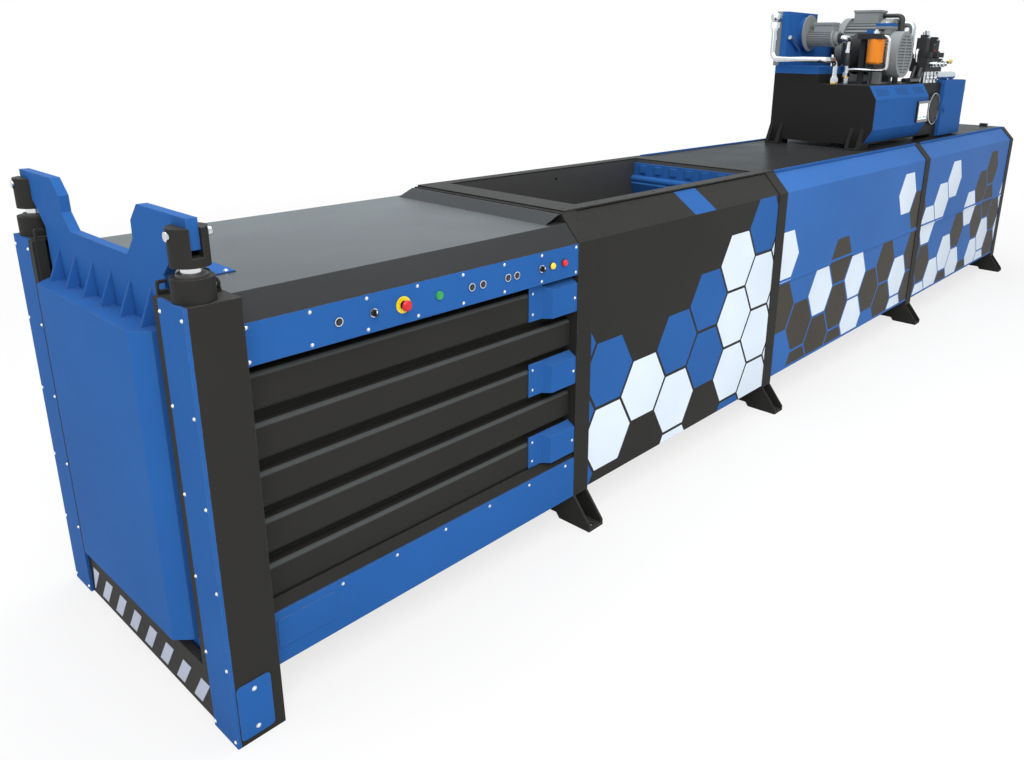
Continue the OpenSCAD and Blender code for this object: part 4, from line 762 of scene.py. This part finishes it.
def motor_slot_shadows():
    """Dark plates at the back of the fan hoods' level slots: painted shade seen through the slots."""
    each_way, slot_half, spine, play = 6, 5.8, 9.2, 0.2
    bm = bmesh.new()
    for x, z, y, d in ((6370, 2282, -130, 420), (5985, 2205, -370, 350)):
        for k in range(-each_way, each_way + 1):
            up = k * (d / 2 - 40) / each_way
            half = math.sqrt((d / 2 - 30) ** 2 - up * up)
            for x0, x1 in ((x - half + play, x - spine), (x + spine, x + half - play)):
                brick(bm, (x0, x1), (y + 4, y + 7.9), (z + up - slot_half, z + up + slot_half))
    add("motor_slot_shadows", bm, "control_black")


def valve_fittings():
    """Connectors, stems, knobs and short hoses round the valve block."""
    black, chrome, gold, blue, green, red = (bmesh.new() for _ in range(6))
    for x, z in ((6553, 2342), (6726, 2276), (6799, 2330)):
        brick(black, (x - 15, x + 15), (-330, -282), (z, z + 26))
        brick(black, (x - 11, x + 11), (-344, -330), (z + 4, z + 22))
    for x, z in ((6726, 2292), (6799, 2346)):
        lathe(green, at(x, -344, z), NEAR, [(0, 0), (6, 0), (6, 2), (0, 3)], 12)
    lathe(red, at(6726, -347, 2240), NEAR, [(0, 0), (9, 0), (9, 5), (0, 8)], 16)

    ball_valve = [
        (0, 0), (17, 0), (17, 12), (11, 14), (11, 26), (20, 32),
        (25, 43), (20, 54), (11, 60), (11, 92), (0, 92),
    ]
    for x in (6595, 6690, 6785):
        lathe(chrome, at(x, -358, TANK_TOP), UP, ball_valve, 20)
    loop = ((6500, 2150), (6462, 2152), (6444, 2190), (6456, 2236), (6516, 2262))
    tube(chrome, [at(x, -300, z) for x, z in loop], 11)
    stem = [(0, 0), (12, 0), (12, 20), (7, 22), (7, 66), (0, 66)]
    knob = [(0, 0), (14, 0), (17, 4), (17, 20), (14, 24), (0, 24)]
    for x in (6800, 6852):
        lathe(chrome, at(x, -377, 2156), NEAR, stem, 16)
        lathe(gold, at(x, -443, 2156), NEAR, knob, 16)

    thick_hose = (
        (6200, -346, 2003), (6300, -346, 2003), (6400, -344, 2004),
        (6456, -338, 2030), (6500, -335, 2095),
    )
    thin_hose = (
        (6230, -296, 2003), (6330, -296, 2003), (6420, -292, 2006),
        (6462, -286, 2040), (6500, -284, 2110),
    )
    for hose, radius in ((thick_hose, 22), (thin_hose, 18)):
        tube(black, [at(*p) for p in hose], radius, 14)

    bottle_cap = [(0, 0), (30, 0), (37, 8), (36, 22), (26, 36), (0, 42)]
    lathe(chrome, at(6858, -299, 2250), UP, bottle_cap, 24)
    brick(blue, (6250, 6291), (370, 375), (TANK_TOP, 2280))
    brick(blue, (5926, 6044), (-262, -134), (2416, 2440))
    brick(blue, (5720, 5770), (-200, -150), (2355, 2385))
    gauge_foot = [(0, 0), (24, 0), (24, 14), (14, 18), (14, 30), (0, 30)]
    lathe(chrome, at(5690, -240, 2355), UP, gauge_foot, 20)
    lathe(chrome, at(5985, -198, 2440), UP, [(0, 0), (16, 0), (16, 12), (0, 18)], 16)
    for name, bm, material in (
        ("valve_connectors", black, "control_black"),
        ("valve_stems", chrome, "chrome_rod"),
        ("valve_knobs", gold, "brass"),
        ("valve_coils", blue, "blue_paint"),
        ("green_spots", green, "control_green"),
        ("red_spot", red, "control_red"),
    ):
        add(name, bm, material, smooth=35)


bolts_on_frame()
post_flanges_and_gap_shade()
panel_lips()
sill_stripes()
pipe_fittings()
motor_slot_shadows()
valve_fittings()
lamps()
bezel_rims()
screen()
selector_marks()


def sky():
    """White room: soft light all round, plain white to the camera and a cool white in mirrors."""
    white, cool_white, low_sky = (1.0, 1.0, 1.0), (0.84, 0.94, 1.0), (0.62, 0.66, 0.72)
    world = bpy.data.worlds.new("studio")
    scene.world = world
    world.use_nodes = True
    world.node_tree.nodes.clear()
    t = Tree(world.node_tree)
    up = t.split(t.node("ShaderNodeTexCoord").outputs["Generated"])[2]
    light = t.mix(t.remap(up, -0.1, 0.9), low_sky, white)
    mirror = t.node("ShaderNodeLightPath").outputs["Is Glossy Ray"]
    seen = t.seen()
    color = t.mix(seen, light, t.mix(mirror, white, cool_white))
    strength = t.math("ADD", t.times(seen, 0.45), 0.55)
    background = t.node("ShaderNodeBackground", {"Color": color, "Strength": strength})
    t.node("ShaderNodeOutputWorld", {"Surface": background.outputs[0]})


def floor():
    """Pale floor that keeps a faint shadow near the machine and is white farther out."""
    reach = 60  # metres each way
    bm = bmesh.new()
    corners = ((-reach, -reach), (reach, -reach), (reach, reach), (-reach, reach))
    prism(bm, [Vector((x, y, 0)) for x, y in corners], DOWN, 10)
    mesh = bpy.data.meshes.new("floor")
    bm.to_mesh(mesh)
    bm.free()
    slab = bpy.data.objects.new("floor", mesh)
    scene.collection.objects.link(slab)
    t = new_material("floor")
    tone = t.mix(t.noise(t.place(), 3.0, 4.0), (0.80, 0.80, 0.80), (0.84, 0.84, 0.84))
    matt = t.node("ShaderNodeBsdfDiffuse", {"Color": tone}).outputs[0]
    glow = t.node("ShaderNodeEmission", {"Color": (1, 1, 1), "Strength": 1.0}).outputs[0]
    far = t.node("ShaderNodeVectorMath", {0: t.place()}, operation="LENGTH").outputs["Value"]
    share = t.times(t.seen(), t.remap(far, 4.5, 9.0, 0.75, 1.0))
    both = t.node("ShaderNodeMixShader", {0: share, 1: matt, 2: glow}).outputs[0]
    t.node("ShaderNodeOutputMaterial", {"Surface": both})
    mesh.materials.append(MATERIALS["floor"])


def soft_lights():
    """Large square lamps from the control side, from above and from the door end."""
    for name, spot, aim, size, power, tint in (
        ("key", (-6, -7, 8), (0, 0, 0.8), 7, 760, (1.0, 0.98, 0.95)),
        ("top", (0, 1, 9), (0, 0, 0), 9, 600, (0.97, 0.99, 1.0)),
        ("front", (-10, 2, 4), (-4, 0, 0.8), 5, 110, (1.0, 1.0, 1.0)),
    ):
        data = bpy.data.lights.new(name, "AREA")
        data.shape = "SQUARE"
        data.size = size
        data.energy = power
        data.color = tint
        lamp = bpy.data.objects.new(name, data)
        scene.collection.objects.link(lamp)
        lamp.location = spot
        lamp.rotation_euler = (Vector(aim) - Vector(spot)).to_track_quat("-Z", "Y").to_euler()


def camera():
    """The photo's camera, solved from its straight edges."""
    width, height = 1024, 760  # the photo's frame; the next three values are in its pixels
    focal, centre_x, centre_y = 826.83, 563.54, 310.86
    data = bpy.data.cameras.new("photo")
    data.sensor_width = 36
    data.lens = focal / width * data.sensor_width
    data.shift_x = (width / 2 - centre_x) / width
    data.shift_y = (centre_y - height / 2) / width
    data.clip_end = 200
    obj = bpy.data.objects.new("photo", data)
    scene.collection.objects.link(obj)
    right = Vector((0.66116794, -0.7500711, 0.0158206))
    up = Vector((0.21420757, 0.208944, 0.95417898))
    back = -Vector((0.7190077, 0.62748366, -0.29881798))
    turn = Matrix((right, up, back)).transposed().to_4x4()
    obj.matrix_world = Matrix.Translation((-5.2768, -2.8708, 2.183)) @ turn
    scene.camera = obj


sky()
floor()
soft_lights()
camera()
scene.view_settings.view_transform = "Standard"
